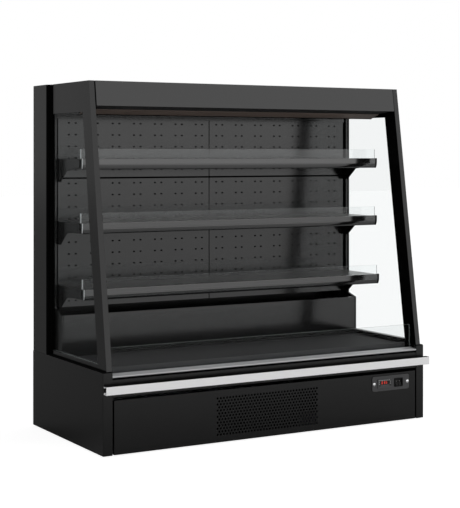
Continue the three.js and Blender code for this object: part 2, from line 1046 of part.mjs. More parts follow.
// Folded front of the canopy, in the plane of the slanted posts
function fascia() {
  const half = frameInner - fasciaGap;
  const top = cabinetHeight;
  const rear = roofFront - fit;
  const low = frontAt(fasciaFoot);
  const high = frontAt(top);
  const profile = [
    [low, fasciaFoot],
    [low + fasciaReturn, fasciaFoot],
    [low + fasciaReturn, fasciaFoot + sheet],
    [low + sheet + 0.3, fasciaFoot + sheet],
    [high + sheet, top - sheet],
    [rear - sheet, top - sheet],
    [rear - sheet, top - roofThickness],
    [rear, top - roofThickness],
    [rear, top],
    [high, top],
  ];
  const left = fasciaLeftGap - frameInner;
  return piece("fascia", charcoal, alongX(shapeOf(profile), left, half));
}

// Cell grid that blows the air curtain down behind the fascia
const dischargeFront = frontAt(fasciaFoot) + fasciaReturn + fit;
const dischargeRear = dischargeFront + dischargeDepth;
const coverFront = dischargeRear + fit;
const coverRear = coverFront + coverDepth;
const coverTop = fasciaFoot - dischargeFall;

function dischargeGrille() {
  const half = frameInner - fit;
  const profile = [
    [dischargeFront, fasciaFoot],
    [dischargeRear, coverTop],
    [dischargeRear, coverTop + dischargeThickness],
    [dischargeFront, fasciaFoot + dischargeThickness],
  ];
  return piece("discharge_grille", blackTrim, alongX(shapeOf(profile), -half, half));
}

// Underside of the canopy: sloping light cover, lip, ceiling and rear flange
function canopyLiner() {
  const half = frameInner - fit;
  const low = coverTop - coverFall;
  const ceiling = backTop + fit;
  const rear = backFace - fit;
  const profile = [
    [coverFront, coverTop],
    [coverRear, low],
    [coverRear, low - linerLip],
    [coverRear + 4, low - linerLip],
    [coverRear + 4, ceiling],
    [rear - sheet, ceiling],
    [rear - sheet, backTop - linerReturn],
    [rear, backTop - linerReturn],
    [rear, ceiling],
    [wallFront - fit, ceiling],
    [wallFront - fit, ceiling + sheet],
    [coverRear + 2, ceiling + sheet],
    [coverFront + 4, coverTop + 4],
    [coverFront + 4, cabinetHeight - roofThickness - fit],
    [coverFront, cabinetHeight - roofThickness - fit],
  ];
  return piece("canopy_liner", charcoal, alongX(shapeOf(profile), -half, half));
}

// ---------------------------------------------------------------- shelves

const lowestFoot = baseHeight + lowestShelf;
const topFoot = cabinetHeight - topShelfDrop;
const shelfTiers = [
  { foot: lowestFoot, reach: lowestReach },
  { foot: (lowestFoot + topFoot) / 2 + middleShift, reach: upperReach },
  { foot: topFoot, reach: upperReach },
];

function shelf(index, { foot, reach }) {
  const front = backFace - reach;
  const top = foot + railHeight;
  const deck = top - 2;
  const shelfFront = front + railDepth + fit;
  const shelfRear = backFace - fit;
  const prefix = `shelf_${index}_`;

  const rail = [
    [front + 2, top],
    [front, top - 2],
    [front, foot + railHeight * 0.4],
    [front + railTuck, foot + 3],
    [front + railTuck + 3, foot],
    [front + railDepth, foot],
    [front + railDepth, top],
  ];

  const tray = cut(
    block(-trayHalf, trayHalf, shelfFront, shelfRear, deck - trayEdge, deck),
    block(
      sheet - trayHalf,
      trayHalf - sheet,
      shelfFront + sheet,
      shelfRear - sheet,
      deck - trayEdge - 1,
      deck - sheet,
    ),
    block(
      sheet - trayHalf,
      trayHalf - sheet,
      shelfRear - sheet - 1,
      shelfRear + 1,
      deck - trayEdge - 1,
      deck - trayRearEdge,
    ),
  );

  const wall = backFace + 4 - fit;
  const bracketTop = deck;
  const bracketOutline = [
    [wall, bracketTop],
    [wall, bracketTop - bracketHeight],
    [wall - bracketBlock * 0.65, bracketTop - bracketHeight],
    [wall - bracketArm, bracketTop - trayEdge - bracketNose],
    [shelfFront + bracketTip, bracketTop - trayEdge + 8],
    [shelfFront + bracketTip, bracketTop],
  ];

  const fence = block(
    fenceInset - railHalf,
    railHalf - fenceInset,
    front + fenceSetback,
    front + fenceSetback + fenceThickness,
    deck + fit,
    top + fenceHeight,
  );

  return [
    piece(prefix + "tray", charcoal, tray),
    piece(prefix + "rail", railGrey, alongX(shapeOf(rail), -railHalf, railHalf)),
    piece(prefix + "fence", clearAcrylic, fence),
    ...sides.map(({ word, sign }) =>
      piece(
        `${prefix}bracket_${word}`,
        blackTrim,
        alongX(
          shapeOf(bracketOutline),
          ...span(sign, trayHalf + fit, trayHalf + fit + bracketThickness),
        ),
      ),
    ),
  ];
}

// ---------------------------------------------------------------- machinery

// Comb of fins in plan, open to the front, with a solid back
function finComb(half, front, rear, fins) {
  const pitch = (2 * half) / fins;
  const gap = pitch * 0.35;
  const points = [
    [half, rear],
    [-half, rear],
  ];
  for (let i = 0; i < fins; i++) {
    const start = -half + i * pitch;
    const end = start + pitch;
    points.push([start, front]);
    points.push([end - gap, front]);
    if (i < fins - 1) {
      points.push([end - gap, rear - 8]);
      points.push([end, rear - 8]);
    }
  }
  points.push([half, front]);
  points.splice(-2, 1);
  return shapeOf(points);
}

// Axial fan on an axis along y, hub starting at y0
function fanRotor(name, x, y0, z, radius) {
  const hub = new THREE.CylinderGeometry(motorHub, motorHub, hubDepth, 12);
  hub.translate(0, hubDepth / 2, 0);
  const parts = [];
  for (let i = 0; i < fanBlades; i++) {
    const blade = new THREE.BoxGeometry(bladeWidth, 2.5, radius - motorHub / 2);
    blade.rotateZ(0.5);
    blade.translate(0, hubDepth / 2, (radius + motorHub / 2) / 2);
    blade.rotateY((2 * Math.PI * i) / fanBlades);
    parts.push(blade);
  }
  const rotor = join(hub, ...parts);
  rotor.translate(x, y0, z);
  return piece(name, blackTrim, rotor);
}

function compressor() {
  const base = trayFloor + sheet + fit;
  const profile = [
    [0, 0],
    [compressorRadius - 6, 0],
    [compressorRadius, 14],
    [compressorRadius, compressorHeight * 0.68],
    [compressorRadius * 0.86, compressorHeight * 0.86],
    [compressorRadius * 0.5, compressorHeight * 0.98],
    [0, compressorHeight],
  ].map(([a, b]) => new THREE.Vector2(a, b));
  const can = new THREE.LatheGeometry(profile, 14);
  can.rotateX(Math.PI / 2).translate(compressorX, compressorY, base + 4);
  const plate = block(
    compressorX - compressorRadius - 24,
    compressorX + compressorRadius + 24,
    compressorY - compressorRadius * 0.7,
    compressorY + compressorRadius * 0.7,
    base,
    base + 6,
  );
  return piece("compressor", blackTrim, join(can, plate));
}

const condenserBase = trayFloor + sheet + fit;
const condenserRear = condenserFront + condenserDepth;
const condenserFanZ = condenserBase + condenserHeight / 2;
const condenserFanY = condenserRear + 8;

// Finned coil with its fan motor held behind it on a strap
function condenser() {
  const coil = alongZ(
    finComb(condenserHalf, condenserFront, condenserRear, coilFins),
    condenserBase,
    condenserBase + condenserHeight,
  ).translate(grilleCentre, 0, 0);
  const strapY = condenserFanY + hubDepth + fit + motorDepth;
  const legX = condenserFanRadius + 14;
  const legs = sides.map(({ sign }) => {
    const [x0, x1] = span(sign, legX, legX + 12);
    return block(
      grilleCentre + x0,
      grilleCentre + x1,
      condenserRear - 4,
      strapY + 4,
      condenserBase,
      condenserFanZ + 14,
    );
  });
  const strap = block(
    grilleCentre - legX - 12,
    grilleCentre + legX + 12,
    strapY,
    strapY + 4,
    condenserFanZ - 14,
    condenserFanZ + 14,
  );
  const motor = new THREE.CylinderGeometry(motorRadius, motorRadius, motorDepth + 1, 12);
  motor.translate(grilleCentre, strapY - motorDepth / 2 + 0.5, condenserFanZ);
  return piece("condenser", bareCopper, join(coil, ...legs, strap, motor));
}

const evaporatorFoot = tubFloor + fit;
const evaporatorFanZ = evaporatorFoot + evaporatorHeight / 2;
const evaporatorHub = evaporatorFront - motorDepth - fit - hubDepth;

// Finned coil behind the plenum cover, with the two fan motors on its front
function evaporator() {
  const coil = alongZ(
    finComb(evaporatorHalf, evaporatorFront, evaporatorFront + evaporatorDepth, evaporatorFins),
    evaporatorFoot,
    evaporatorFoot + evaporatorHeight,
  );
  const motors = sides.flatMap(({ sign }) => {
    const x = sign * evaporatorFanSpread;
    const motor = new THREE.CylinderGeometry(motorRadius, motorRadius, motorDepth, 12);
    motor.translate(x, evaporatorFront - motorDepth / 2, evaporatorFanZ);
    const plate = block(
      x - motorPlateWidth / 2,
      x + motorPlateWidth / 2,
      evaporatorFront - 2,
      evaporatorFront + 4,
      evaporatorFanZ - motorPlateHeight / 2,
      evaporatorFanZ + motorPlateHeight / 2,
    );
    return [motor, plate];
  });
  return piece("evaporator", galvanised, join(coil, ...motors));
}

// ---------------------------------------------------------------- assembly

const cabinet = new THREE.Group();
cabinet.add(
  ...sides.map(baseEnd),
  chassisTray(),
  ...levellingFeet(),
  frontPanel(),
  controlPlate(),
  thermostat(),
  ...sides.map(thermostatKey),
  rocker("rocker_light", rockerCentres[0]),
  rocker("rocker_power", rockerCentres[1]),
  insulatedTub(),
  bumperRail(),
  bumperBar(),
  noseProfile(),
  frontGlassPane(),
  deckPanel(),
  returnGrille(),
  plenumCover(),
  ...sides.map(sideFrame),
  ...sides.map(sideGlass),
  ...sides.map(sideGasket),
  rearWall(),
  ...sides.map(upright),
  ...backPanels(),
  roofPanel(),
  fascia(),
  dischargeGrille(),
  canopyLiner(),
  ...shelfTiers.flatMap((tier, i) => shelf(i + 1, tier)),
  compressor(),
  condenser(),
  fanRotor(
    "condenser_fan",
    grilleCentre,
    condenserFanY,
    condenserFanZ,
    condenserFanRadius,
  ),
  evaporator(),
  ...sides.map(({ word, sign }) =>
    fanRotor(
      "evaporator_fan_" + word,
      sign * evaporatorFanSpread,
      evaporatorHub,
      evaporatorFanZ,
      evaporatorFanRadius,
    ),
  ),
);
cabinet.position.set(0, (bumperReach - cabinetDepth) / 2, footGap);

// The fridge's own frame: origin on the floor, under the middle of its outline
const fridge = new THREE.Group();
fridge.add(cabinet);

export default fridge;
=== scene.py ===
"""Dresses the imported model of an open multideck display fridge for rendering.

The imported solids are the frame. Pieces that need more detail than a solid holds
(perforated and slotted sheets, glazing, shelf fronts, controls) are modelled here
and stand for their nodes; the other nodes stay and get softened edges and a finish.
All lengths are in the cabinet's own millimetres: x to the right, y to the rear from
the front of the base, z up from the lower edge of the base panels.
"""

from __future__ import annotations

import logging
import math
from collections.abc import Iterable, Sequence
from dataclasses import dataclass
from enum import Enum
from functools import cache

import bmesh
import bpy
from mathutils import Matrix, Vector


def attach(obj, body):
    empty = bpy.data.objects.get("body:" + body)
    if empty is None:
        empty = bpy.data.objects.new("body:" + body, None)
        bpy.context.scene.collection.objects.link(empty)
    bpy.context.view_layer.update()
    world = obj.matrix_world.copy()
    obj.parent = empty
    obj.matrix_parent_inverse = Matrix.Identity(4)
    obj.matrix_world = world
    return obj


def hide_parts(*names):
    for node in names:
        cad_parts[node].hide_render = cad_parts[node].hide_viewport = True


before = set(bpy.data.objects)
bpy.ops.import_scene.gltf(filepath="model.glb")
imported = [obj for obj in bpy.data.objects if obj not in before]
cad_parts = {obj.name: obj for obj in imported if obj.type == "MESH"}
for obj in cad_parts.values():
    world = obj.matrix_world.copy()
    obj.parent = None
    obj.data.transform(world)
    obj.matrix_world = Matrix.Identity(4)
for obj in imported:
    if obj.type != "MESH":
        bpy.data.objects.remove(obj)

LOG = logging.getLogger("fridge")

Point2 = tuple[float, float]
Point3 = tuple[float, float, float]
Profile = Sequence[Point2]
Colour = tuple[float, float, float, float]
Piece = bpy.types.Object
Material = bpy.types.Material
Socket = bpy.types.NodeSocket

WHITE: Colour = (1.0, 1.0, 1.0, 1.0)

MM = 0.001
DATUM_Y = -339.8  # the cabinet's y = 0 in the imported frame
DATUM_Z = 6.0  # height of the cabinet's z = 0 above the floor


class Axis(Enum):
    """The direction that a profile is run along."""

    X = 0
    Y = 1
    Z = 2

    def point(self, a: float, b: float, run: float) -> Point3:
        """Puts a place in the profile and along the run in the order x, y, z."""
        return ((run, a, b), (a, run, b), (a, b, run))[self.value]


class Side(Enum):
    """A side of the cabinet, seen from its open front."""

    LEFT = -1
    RIGHT = 1

    @property
    def word(self) -> str:
        """The side as it stands in node names."""
        return self.name.lower()


def metres(x: float, y: float, z: float) -> Vector:
    """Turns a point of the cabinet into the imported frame.

    Args:
        x: Millimetres to the right of the middle.
        y: Millimetres behind the base front.
        z: Millimetres above the panels' lower edge.

    Returns:
        The point in metres.
    """
    return Vector((x * MM, (y + DATUM_Y) * MM, (z + DATUM_Z) * MM))


def linear(code: str, alpha: float = 1.0) -> Colour:
    """Turns an sRGB hex colour into linear light.

    Args:
        code: Colour as rrggbb.
        alpha: Opacity to pass through.

    Returns:
        Linear red, green, blue and the opacity.
    """
    parts = [int(code[i : i + 2], 16) / 255 for i in (0, 2, 4)]
    red, green, blue = (
        p / 12.92 if p <= 0.04045 else ((p + 0.055) / 1.055) ** 2.4 for p in parts
    )
    return (red, green, blue, alpha)


def grey(value: float) -> Colour:
    """An opaque grey."""
    return (value, value, value, 1.0)


def around(middle: float, half: float) -> Point2:
    """The reach of something with this middle and half width."""
    return (middle - half, middle + half)


# ------------------------------------------------------------------ sizes


@dataclass(frozen=True)
class BackSlots:
    """The pattern of slots in the back panels, from the seam between the halves."""

    first_pair: float = 52.2
    pair_pitch: float = 101.5
    pairs: int = 7
    spread: float = 31.5
    width: float = 10.5
    height: float = 6.4
    row_pitch: float = 49.5


@dataclass(frozen=True)
class Grille:
    """The air intake in the service panel."""

    centre: float = -30.0
    columns: int = 34
    rows: int = 13
    pitch_x: float = 14.47
    pitch_z: float = 12.15
    bottom: float = 32.0
    radius: float = 4.7


@dataclass(frozen=True)
class Tier:
    """One shelf: number, height of the rail's foot and y of the rail's front."""

    index: int
    foot: float
    front: float


TIERS = (Tier(1, 569.0, 271.5), Tier(2, 835.0, 288.5), Tier(3, 1096.0, 288.5))


@dataclass(frozen=True)
class Controls:
    """Places on the service panel's control plate."""

    plate_x: float = 591.5
    plate_z: float = 168.0
    width: float = 197.0
    height: float = 64.0
    radius: float = 9.0
    back: float = -0.3
    front: float = -3.3
    thermostat_x: float = 558.0
    switch_x: float = 632.0
    screws: tuple[float, float] = (503.5, 680.5)
    rockers: tuple[float, float] = (620.2, 636.2)
    thermostat_hole: Point2 = (71.6, 33.6)
    housing_hole: Point2 = (40.6, 32.6)  # in the sheet
    housing_body: Point2 = (40.0, 32.0)  # in the plate
    window_z: Point2 = (153.3, 182.7)  # reach of the rockers' windows


# ------------------------------------------------------------------ materials

# Scales of the patterns in features a metre, from the size of the real ones.
CLOUD = 9.0  # slow change of tone in a coating, about 110 mm across
PEEL = 1100.0  # orange peel of powder coating, 0.9 mm
SMEAR = 5.0  # wiping marks on a pane, 200 mm
NICKS = 200.0  # polishing marks on a cut edge, 5 mm
PITS = 1500.0  # eroded grain of moulded plastic, 0.7 mm
WEAR = 30.0  # duller and shinier spots of plastic, 33 mm
SPANGLE = 90.0  # zinc crystals, 11 mm
SEGMENT = 800.0  # unevenness inside a lit segment, 1.3 mm


def feed(
    tree: bpy.types.NodeTree, node: bpy.types.Node, values: dict[str | int, object]
) -> None:
    """Sets a node's inputs.

    Args:
        tree: The tree that holds it.
        node: The node.
        values: Names or numbers of inputs, with their values or the sockets that feed them.
    """
    for key, value in values.items():
        if isinstance(value, Socket):
            tree.links.new(value, node.inputs[key])
        else:
            node.inputs[key].default_value = value


def add_node(
    tree: bpy.types.NodeTree,
    kind: str,
    values: dict[str | int, object] | None = None,
    **settings: object,
) -> bpy.types.Node:
    """Adds a node and sets it up.

    Args:
        tree: The tree to add to.
        kind: The node's type name.
        values: Inputs, as feed takes them.
        **settings: Properties of the node itself.

    Returns:
        The new node.
    """
    node = tree.nodes.new(kind)
    for key, value in settings.items():
        setattr(node, key, value)
    feed(tree, node, values or {})
    return node


def ranged(
    tree: bpy.types.NodeTree,
    value: Socket,
    target: Point2,
    source: Point2 = (0.0, 1.0),
    **settings: object,
) -> Socket:
    """Maps one range of values onto another.

    Args:
        tree: The tree to add to.
        value: What is mapped.
        target: The range that comes out.
        source: The range that goes in.
        **settings: Properties of the map range node.

    Returns:
        The mapped value.
    """
    values = {"Value": value, "From Min": source[0], "From Max": source[1]}
    values |= {"To Min": target[0], "To Max": target[1]}
    return add_node(tree, "ShaderNodeMapRange", values, **settings).outputs["Result"]


def combined(tree: bpy.types.NodeTree, operation: str, a: Socket, b: Socket) -> Socket:
    """Joins two values with a math node.

    Args:
        tree: The tree to add to.
        operation: The math node's operation.
        a: First value.
        b: Second value.

    Returns:
        The result.
    """
    node = add_node(tree, "ShaderNodeMath", {0: a, 1: b}, operation=operation)
    return node.outputs["Value"]


def split(tree: bpy.types.NodeTree, vector: Socket, letter: str) -> Socket:
    """Takes one coordinate out of a vector.

    Args:
        tree: The tree to add to.
        vector: The vector.
        letter: X, Y or Z.

    Returns:
        That coordinate.
    """
    return add_node(tree, "ShaderNodeSeparateXYZ", {"Vector": vector}).outputs[letter]


class Wiring:
    """A material's node tree while it is put together."""

    def __init__(self, name: str) -> None:
        """Starts with a surface shader and the object's coordinates.

        Args:
            name: The material's name.
        """
        self.material = bpy.data.materials.new(name)
        self.material.use_nodes = True
        self.tree = self.material.node_tree
        self.tree.nodes.clear()
        self.shader = add_node(self.tree, "ShaderNodeBsdfPrincipled")
        surface = {"Surface": self.shader.outputs["BSDF"]}
        self.output = add_node(self.tree, "ShaderNodeOutputMaterial", surface)
        self.place = add_node(self.tree, "ShaderNodeTexCoord").outputs

    def set(self, values: dict[str | int, object]) -> None:
        """Sets inputs of the surface shader."""
        feed(self.tree, self.shader, values)

    def noise(self, scale: float, detail: float, stretch: Point3 | None = None) -> Socket:
        """Adds cloudy noise in the object's own space.

        Args:
            scale: Features a metre.
            detail: Octaves of finer noise.
            stretch: Scale of the space along x, y and z.

        Returns:
            The noise, 0 to 1.
        """
        here = self.place["Object"]
        if stretch:
            mapping = {"Vector": here, "Scale": stretch}
            here = add_node(self.tree, "ShaderNodeMapping", mapping).outputs["Vector"]
        values = {"Vector": here, "Scale": scale, "Detail": detail}
        return add_node(self.tree, "ShaderNodeTexNoise", values).outputs["Fac"]

    def cells(self, scale: float) -> Socket:
        """Adds a pattern of cells, as the distance to the nearest cell's middle.

        Args:
            scale: Cells a metre.

        Returns:
            The distance.
        """
        values = {"Vector": self.place["Object"], "Scale": scale}
        return add_node(self.tree, "ShaderNodeTexVoronoi", values).outputs["Distance"]

    def tone(self, factor: Socket, code: str, down: float, up: float) -> None:
        """Lets the base colour vary.

        Args:
            factor: What it follows.
            code: Mean colour as an sRGB hex code.
            down: Share by which the dark end is darker.
            up: Share by which the light end is lighter.
        """
        dark, light = (
            (*(min(c * share, 1.0) for c in linear(code)[:3]), 1.0)
            for share in (1 - down, 1 + up)
        )
        values = {"Factor": factor, 6: dark, 7: light}
        mix = add_node(self.tree, "ShaderNodeMix", values, data_type="RGBA")
        self.set({"Base Color": mix.outputs[2]})

    def roughness(self, factor: Socket, low: float, high: float) -> None:
        """Lets the roughness vary with a factor between two values."""
        self.set({"Roughness": ranged(self.tree, factor, (low, high))})

    def bump(self, height: Socket, strength: float, distance: float = 0.0003) -> None:
        """Gives the surface a fine relief.

        Args:
            height: The relief.
            strength: How much of it shows.
            distance: Its depth in metres.
        """
        values = {"Height": height, "Strength": strength, "Distance": distance}
        relief = add_node(self.tree, "ShaderNodeBump", values)
        self.set({"Normal": relief.outputs["Normal"]})


class FinishShop:
    """Makes each finish once and hands the same one out again."""

    @cache
    def coating(
        self,
        name: str,
        code: str,
        roughness: float,
        peel: float = 0.02,
        gloss: float = 0.5,
        ior: float = 1.5,
        shade_inside: bool = False,
    ) -> Material:
        """Powder coating: fine orange peel and faint changes of tone and gloss.

        Args:
            name: The material's name.
            code: Base colour as an sRGB hex code.
            roughness: Mean roughness.
            peel: Strength of the orange peel.
            gloss: Specular level.
            ior: Index of refraction of the clear top of the coating.
            shade_inside: Leaves the gloss off faces that look at the cabinet's middle, as
                painted shade.

        Returns:
            The material.
        """
        made = Wiring(name)
        cloud = made.noise(CLOUD, 4.0)
        made.tone(cloud, code, 0.06, 0.06)
        made.roughness(cloud, max(roughness - 0.03, 0.02), roughness + 0.03)
        made.bump(made.noise(PEEL, 2.0), peel)
        made.set({"Specular IOR Level": gloss, "IOR": ior})
        if shade_inside:
            # Painted shade: faces that look at the cabinet's middle lose their gloss and
            # read dead black.
            across, facing = (
                split(made.tree, made.place[output], "X") for output in ("Object", "Normal")
            )
            outward = combined(made.tree, "MULTIPLY", across, facing)
            skin = ranged(made.tree, outward, (0.03, gloss), (-0.5, -0.3))
            made.set({"Specular IOR Level": skin})
        return made.material

    @cache
    def brushed(
        self,
        name: str,
        code: str,
        roughness: float,
        grain: Point3,
        streak: float = 0.08,
        metallic: float = 1.0,
    ) -> Material:
        """Brushed or drawn metal with streaks along its length.

        Args:
            name: The material's name.
            code: Base colour as an sRGB hex code.
            roughness: Mean roughness.
            grain: Streaks a metre along x, y and z, few along the brushing.
            streak: Strength of the streaks.
            metallic: Less than 1 for an anodised skin that scatters light.

        Returns:
            The material.
        """
        made = Wiring(name)
        lines = made.noise(1.0, 5.0, grain)
        made.tone(lines, code, streak, streak)
        made.roughness(lines, roughness - 0.06, roughness + 0.06)
        made.bump(lines, 0.05)
        made.set({"Metallic": metallic})
        return made.material

    @cache
    def pane(self, name: str, code: str, square_on: float, slanting: float) -> Material:
        """Clear sheet: see-through, with a mirror sheen that grows to the side.

        Args:
            name: The material's name.
            code: Tint of what is seen through one face, as an sRGB hex code.
            square_on: Share of light that a face mirrors when looked at square on.
            slanting: The same at 60 degrees.

        Returns:
            The material.
        """
        made = Wiring(name)
        tree = made.tree
        made.roughness(made.noise(SMEAR, 3.0), 0.01, 0.03)
        made.set({"Base Color": WHITE, "Metallic": 1.0})
        facing = add_node(tree, "ShaderNodeLayerWeight", {"Blend": 0.5}).outputs["Facing"]
        share = add_node(tree, "ShaderNodeValToRGB", {"Fac": facing})
        ramp = share.color_ramp
        for position, value in ((0.5, slanting), (0.8, slanting * 3.5)):
            ramp.elements.new(position).color = grey(value)
        ramp.elements[0].color = grey(square_on)
        ramp.elements[-1].color = WHITE
        clear = add_node(tree, "ShaderNodeBsdfTransparent", {"Color": linear(code)})
        values = {"Fac": share.outputs["Color"], 1: clear.outputs["BSDF"]}
        values[2] = made.shader.outputs["BSDF"]
        sheet = add_node(tree, "ShaderNodeMixShader", values)
        feed(tree, made.output, {"Surface": sheet.outputs["Shader"]})
        return made.material

    @cache
    def sheer(self, name: str, code: str, alpha: float) -> Material:
        """Cut edge of a clear sheet, half see-through and full of stray light.

        Args:
            name: The material's name.
            code: Colour as an sRGB hex code.
            alpha: Opacity.

        Returns:
            The material.
        """
        made = Wiring(name)
        made.roughness(made.noise(NICKS, 3.0), 0.15, 0.4)
        made.set({"Base Color": linear(code), "Alpha": alpha})
        return made.material

    @cache
    def moulded(
        self,
        name: str,
        code: str,
        roughness: float,
        grain: float = 0.08,
        gloss: float = 0.5,
    ) -> Material:
        """Moulded plastic or rubber with a fine eroded grain.

        Args:
            name: The material's name.
            code: Base colour as an sRGB hex code.
            roughness: Mean roughness.
            grain: Strength of the grain.
            gloss: Specular level.

        Returns:
            The material.
        """
        made = Wiring(name)
        made.bump(made.cells(PITS), grain, 0.0002)
        made.roughness(made.noise(WEAR, 3.0), roughness - 0.05, roughness + 0.05)
        made.set({"Base Color": linear(code), "Specular IOR Level": gloss})
        return made.material

    @cache
    def spangled(self, name: str, code: str) -> Material:
        """Galvanised sheet with zinc spangle.

        Args:
            name: The material's name.
            code: Base colour as an sRGB hex code.

        Returns:
            The material.
        """
        made = Wiring(name)
        crystals = made.cells(SPANGLE)
        made.tone(crystals, code, 0.2, 0.2)
        made.roughness(crystals, 0.32, 0.55)
        made.set({"Metallic": 1.0})
        return made.material

    @cache
    def glow(self, name: str, code: str, strength: float) -> Material:
        """A lit segment of the display, a little uneven like a real one.

        Args:
            name: The material's name.
            code: Colour as an sRGB hex code.
            strength: Strength of the light.

        Returns:
            The material.
        """
        made = Wiring(name)
        made.tone(made.noise(SEGMENT, 2.0), code, 0.2, 0.0)
        made.set({"Emission Color": linear(code), "Emission Strength": strength})
        return made.material


SHOP = FinishShop()


def charcoal() -> Material:
    """The cabinet's semi-gloss coating: near black, toned by what it mirrors."""
    return SHOP.coating("coated_steel_charcoal", "050505", 0.16, gloss=0.9)


def frame_coating() -> Material:
    """The coating of the frames, rear wall and roof, with painted shade: dead black where
    it faces in.
    """
    return SHOP.coating(
        "coated_steel_frame", "050505", 0.2, gloss=0.62, shade_inside=True
    )


def charcoal_base_shaded() -> Material:
    """The same coating on the base, duller: less gloss as painted shade, since the low base
    has less light to mirror.
    """
    return SHOP.coating("coated_steel_base_shaded", "060606", 0.24, gloss=0.48)


def black_paint() -> Material:
    """Matt black coating on brackets and uprights."""
    return SHOP.coating("coated_steel_black", "020202", 0.5, gloss=0.1)


def black_plastic() -> Material:
    """Moulded black plastic with a soft grain."""
    return SHOP.moulded("moulded_plastic_black", "050505", 0.5)


def highlight_plastic() -> Material:
    """Pale plastic of the caps and clips at the shelves' left ends: a painted highlight
    where light catches those ends.
    """
    return SHOP.moulded("moulded_plastic_highlight", "d6d8d9", 0.35)


def rocker_plastic() -> Material:
    """Deep black plastic of the switches."""
    return SHOP.moulded("moulded_plastic_rocker", "040404", 0.4, gloss=0.2)


def black_rubber() -> Material:
    """Black sealing rubber."""
    return SHOP.moulded("seal_rubber_black", "010101", 0.85, grain=0.15, gloss=0.06)


def rail_coating() -> Material:
    """Lighter grey coating of the shelf fronts."""
    return SHOP.coating("coated_steel_rail", "121212", 0.1, peel=0.01, gloss=0.66, ior=1.9)


def bright_aluminium() -> Material:
    """Bright brushed aluminium, brushed along the cabinet."""
    return SHOP.brushed(
        "brushed_aluminium_bright", "fdfdfe", 0.3, (3.0, 700.0, 700.0), metallic=0.08
    )


def satin_aluminium() -> Material:
    """Satin anodised aluminium, drawn along the cabinet."""
    return SHOP.brushed(
        "anodised_aluminium_satin", "bebfc0", 0.55, (3.0, 500.0, 500.0), metallic=0.35
    )


def clear_glass() -> Material:
    """Float glass face: nearly unseen, with a sheen at a slant."""
    return SHOP.pane("float_glass_clear", "f9fafa", 0.008, 0.006)


def glass_edge() -> Material:
    """Polished edge of float glass."""
    return SHOP.sheer("float_glass_edge", "9ba3a1", 0.45)


def clear_acrylic() -> Material:
    """Clear acrylic face, milkier than glass."""
    return SHOP.pane("acrylic_clear", "fdfefe", 0.03, 0.05)


def acrylic_edge() -> Material:
    """Cut edge of clear acrylic, which gathers light."""
    return SHOP.sheer("acrylic_edge", "9a9e9e", 0.8)


def deck_coating() -> Material:
    """Hard-wearing matt coating of the deck."""
    return SHOP.coating("coated_steel_deck", "3e3e3f", 0.75, peel=0.005, gloss=0.08)


def chrome() -> Material:
    """Bright plated screw heads."""
    return SHOP.brushed(
        "plated_steel_bright", "f2f3f4", 0.16, (400.0, 400.0, 400.0), 0.03
    )


def printed_white() -> Material:
    """White print on the controls."""
    return SHOP.moulded("printed_mark_white", "c9c9c6", 0.5)


# ------------------------------------------------------------------ modelling


def activate(piece: Piece) -> None:
    """Makes a piece the only selected and active object.

    Args:
        piece: The object.
    """
    bpy.ops.object.select_all(action="DESELECT")
    piece.select_set(True)
    bpy.context.view_layer.objects.active = piece


def applied(piece: Piece, kind: str, **settings: object) -> Piece:
    """Adds a modifier to a piece and applies it.

    Args:
        piece: The object.
        kind: The modifier's type.
        **settings: Its properties.

    Returns:
        The same piece.
    """
    activate(piece)
    modifier = piece.modifiers.new(kind.lower(), kind)
    for key, value in settings.items():
        setattr(modifier, key, value)
    bpy.ops.object.modifier_apply(modifier=modifier.name)
    return piece


def solid(
    name: str, points: Iterable[Sequence[float]], faces: Iterable[Sequence[int]]
) -> Piece:
    """Makes a mesh object from points of the cabinet.

    Args:
        name: The piece's name.
        points: Its corners in cabinet millimetres.
        faces: Its faces as corner numbers.

    Returns:
        The object.
    """
    mesh = bpy.data.meshes.new(name)
    mesh.from_pydata([metres(*p) for p in points], [], [list(f) for f in faces])
    build = bmesh.new()
    build.from_mesh(mesh)
    bmesh.ops.recalc_face_normals(build, faces=build.faces)
    build.to_mesh(mesh)
    build.free()
    piece = bpy.data.objects.new(name, mesh)
    bpy.context.scene.collection.objects.link(piece)
    return piece


def prism(name: str, profile: Profile, axis: Axis, low: float, high: float) -> Piece:
    """Runs a closed profile along an axis.

    Args:
        name: The piece's name.
        profile: (y, z) for x, (x, z) for y and (x, y) for z.
        axis: The direction of the run.
        low: Where the run starts.
        high: Where it ends.

    Returns:
        The object.
    """
    count = len(profile)
    points = [axis.point(a, b, run) for run in (low, high) for a, b in profile]
    faces: list[Sequence[int]] = [range(count), range(2 * count - 1, count - 1, -1)]
    for i in range(count):
        j = (i + 1) % count
        faces.append((i, i + count, j + count, j))
    return solid(name, points, faces)


def slab(name: str, x: Point2, y: Point2, z: Point2) -> Piece:
    """Makes a rectangular blank to be worked further.

    Args:
        name: The piece's name.
        x: Its reach in x.
        y: Its reach in y.
        z: Its reach in z.

    Returns:
        The object.
    """
    outline = [(x[0], z[0]), (x[1], z[0]), (x[1], z[1]), (x[0], z[1])]
    return prism(name, outline, Axis.Y, *y)


def rounded(
    width: float, height: float, radius: float, centre: Point2, steps: int = 6
) -> list[Point2]:
    """Outline of a rectangle with round corners.

    Args:
        width: Full width.
        height: Full height.
        radius: Corner radius.
        centre: Its middle.
        steps: Segments in each corner.

    Returns:
        The outline's points, anticlockwise.
    """
    points = []
    corners = ((1, -1, -90), (1, 1, 0), (-1, 1, 90), (-1, -1, 180))
    for side, level, start in corners:
        cx = centre[0] + side * (width / 2 - radius)
        cz = centre[1] + level * (height / 2 - radius)
        for i in range(steps + 1):
            angle = math.radians(start + 90 * i / steps)
            points.append((cx + radius * math.cos(angle), cz + radius * math.sin(angle)))
    return points


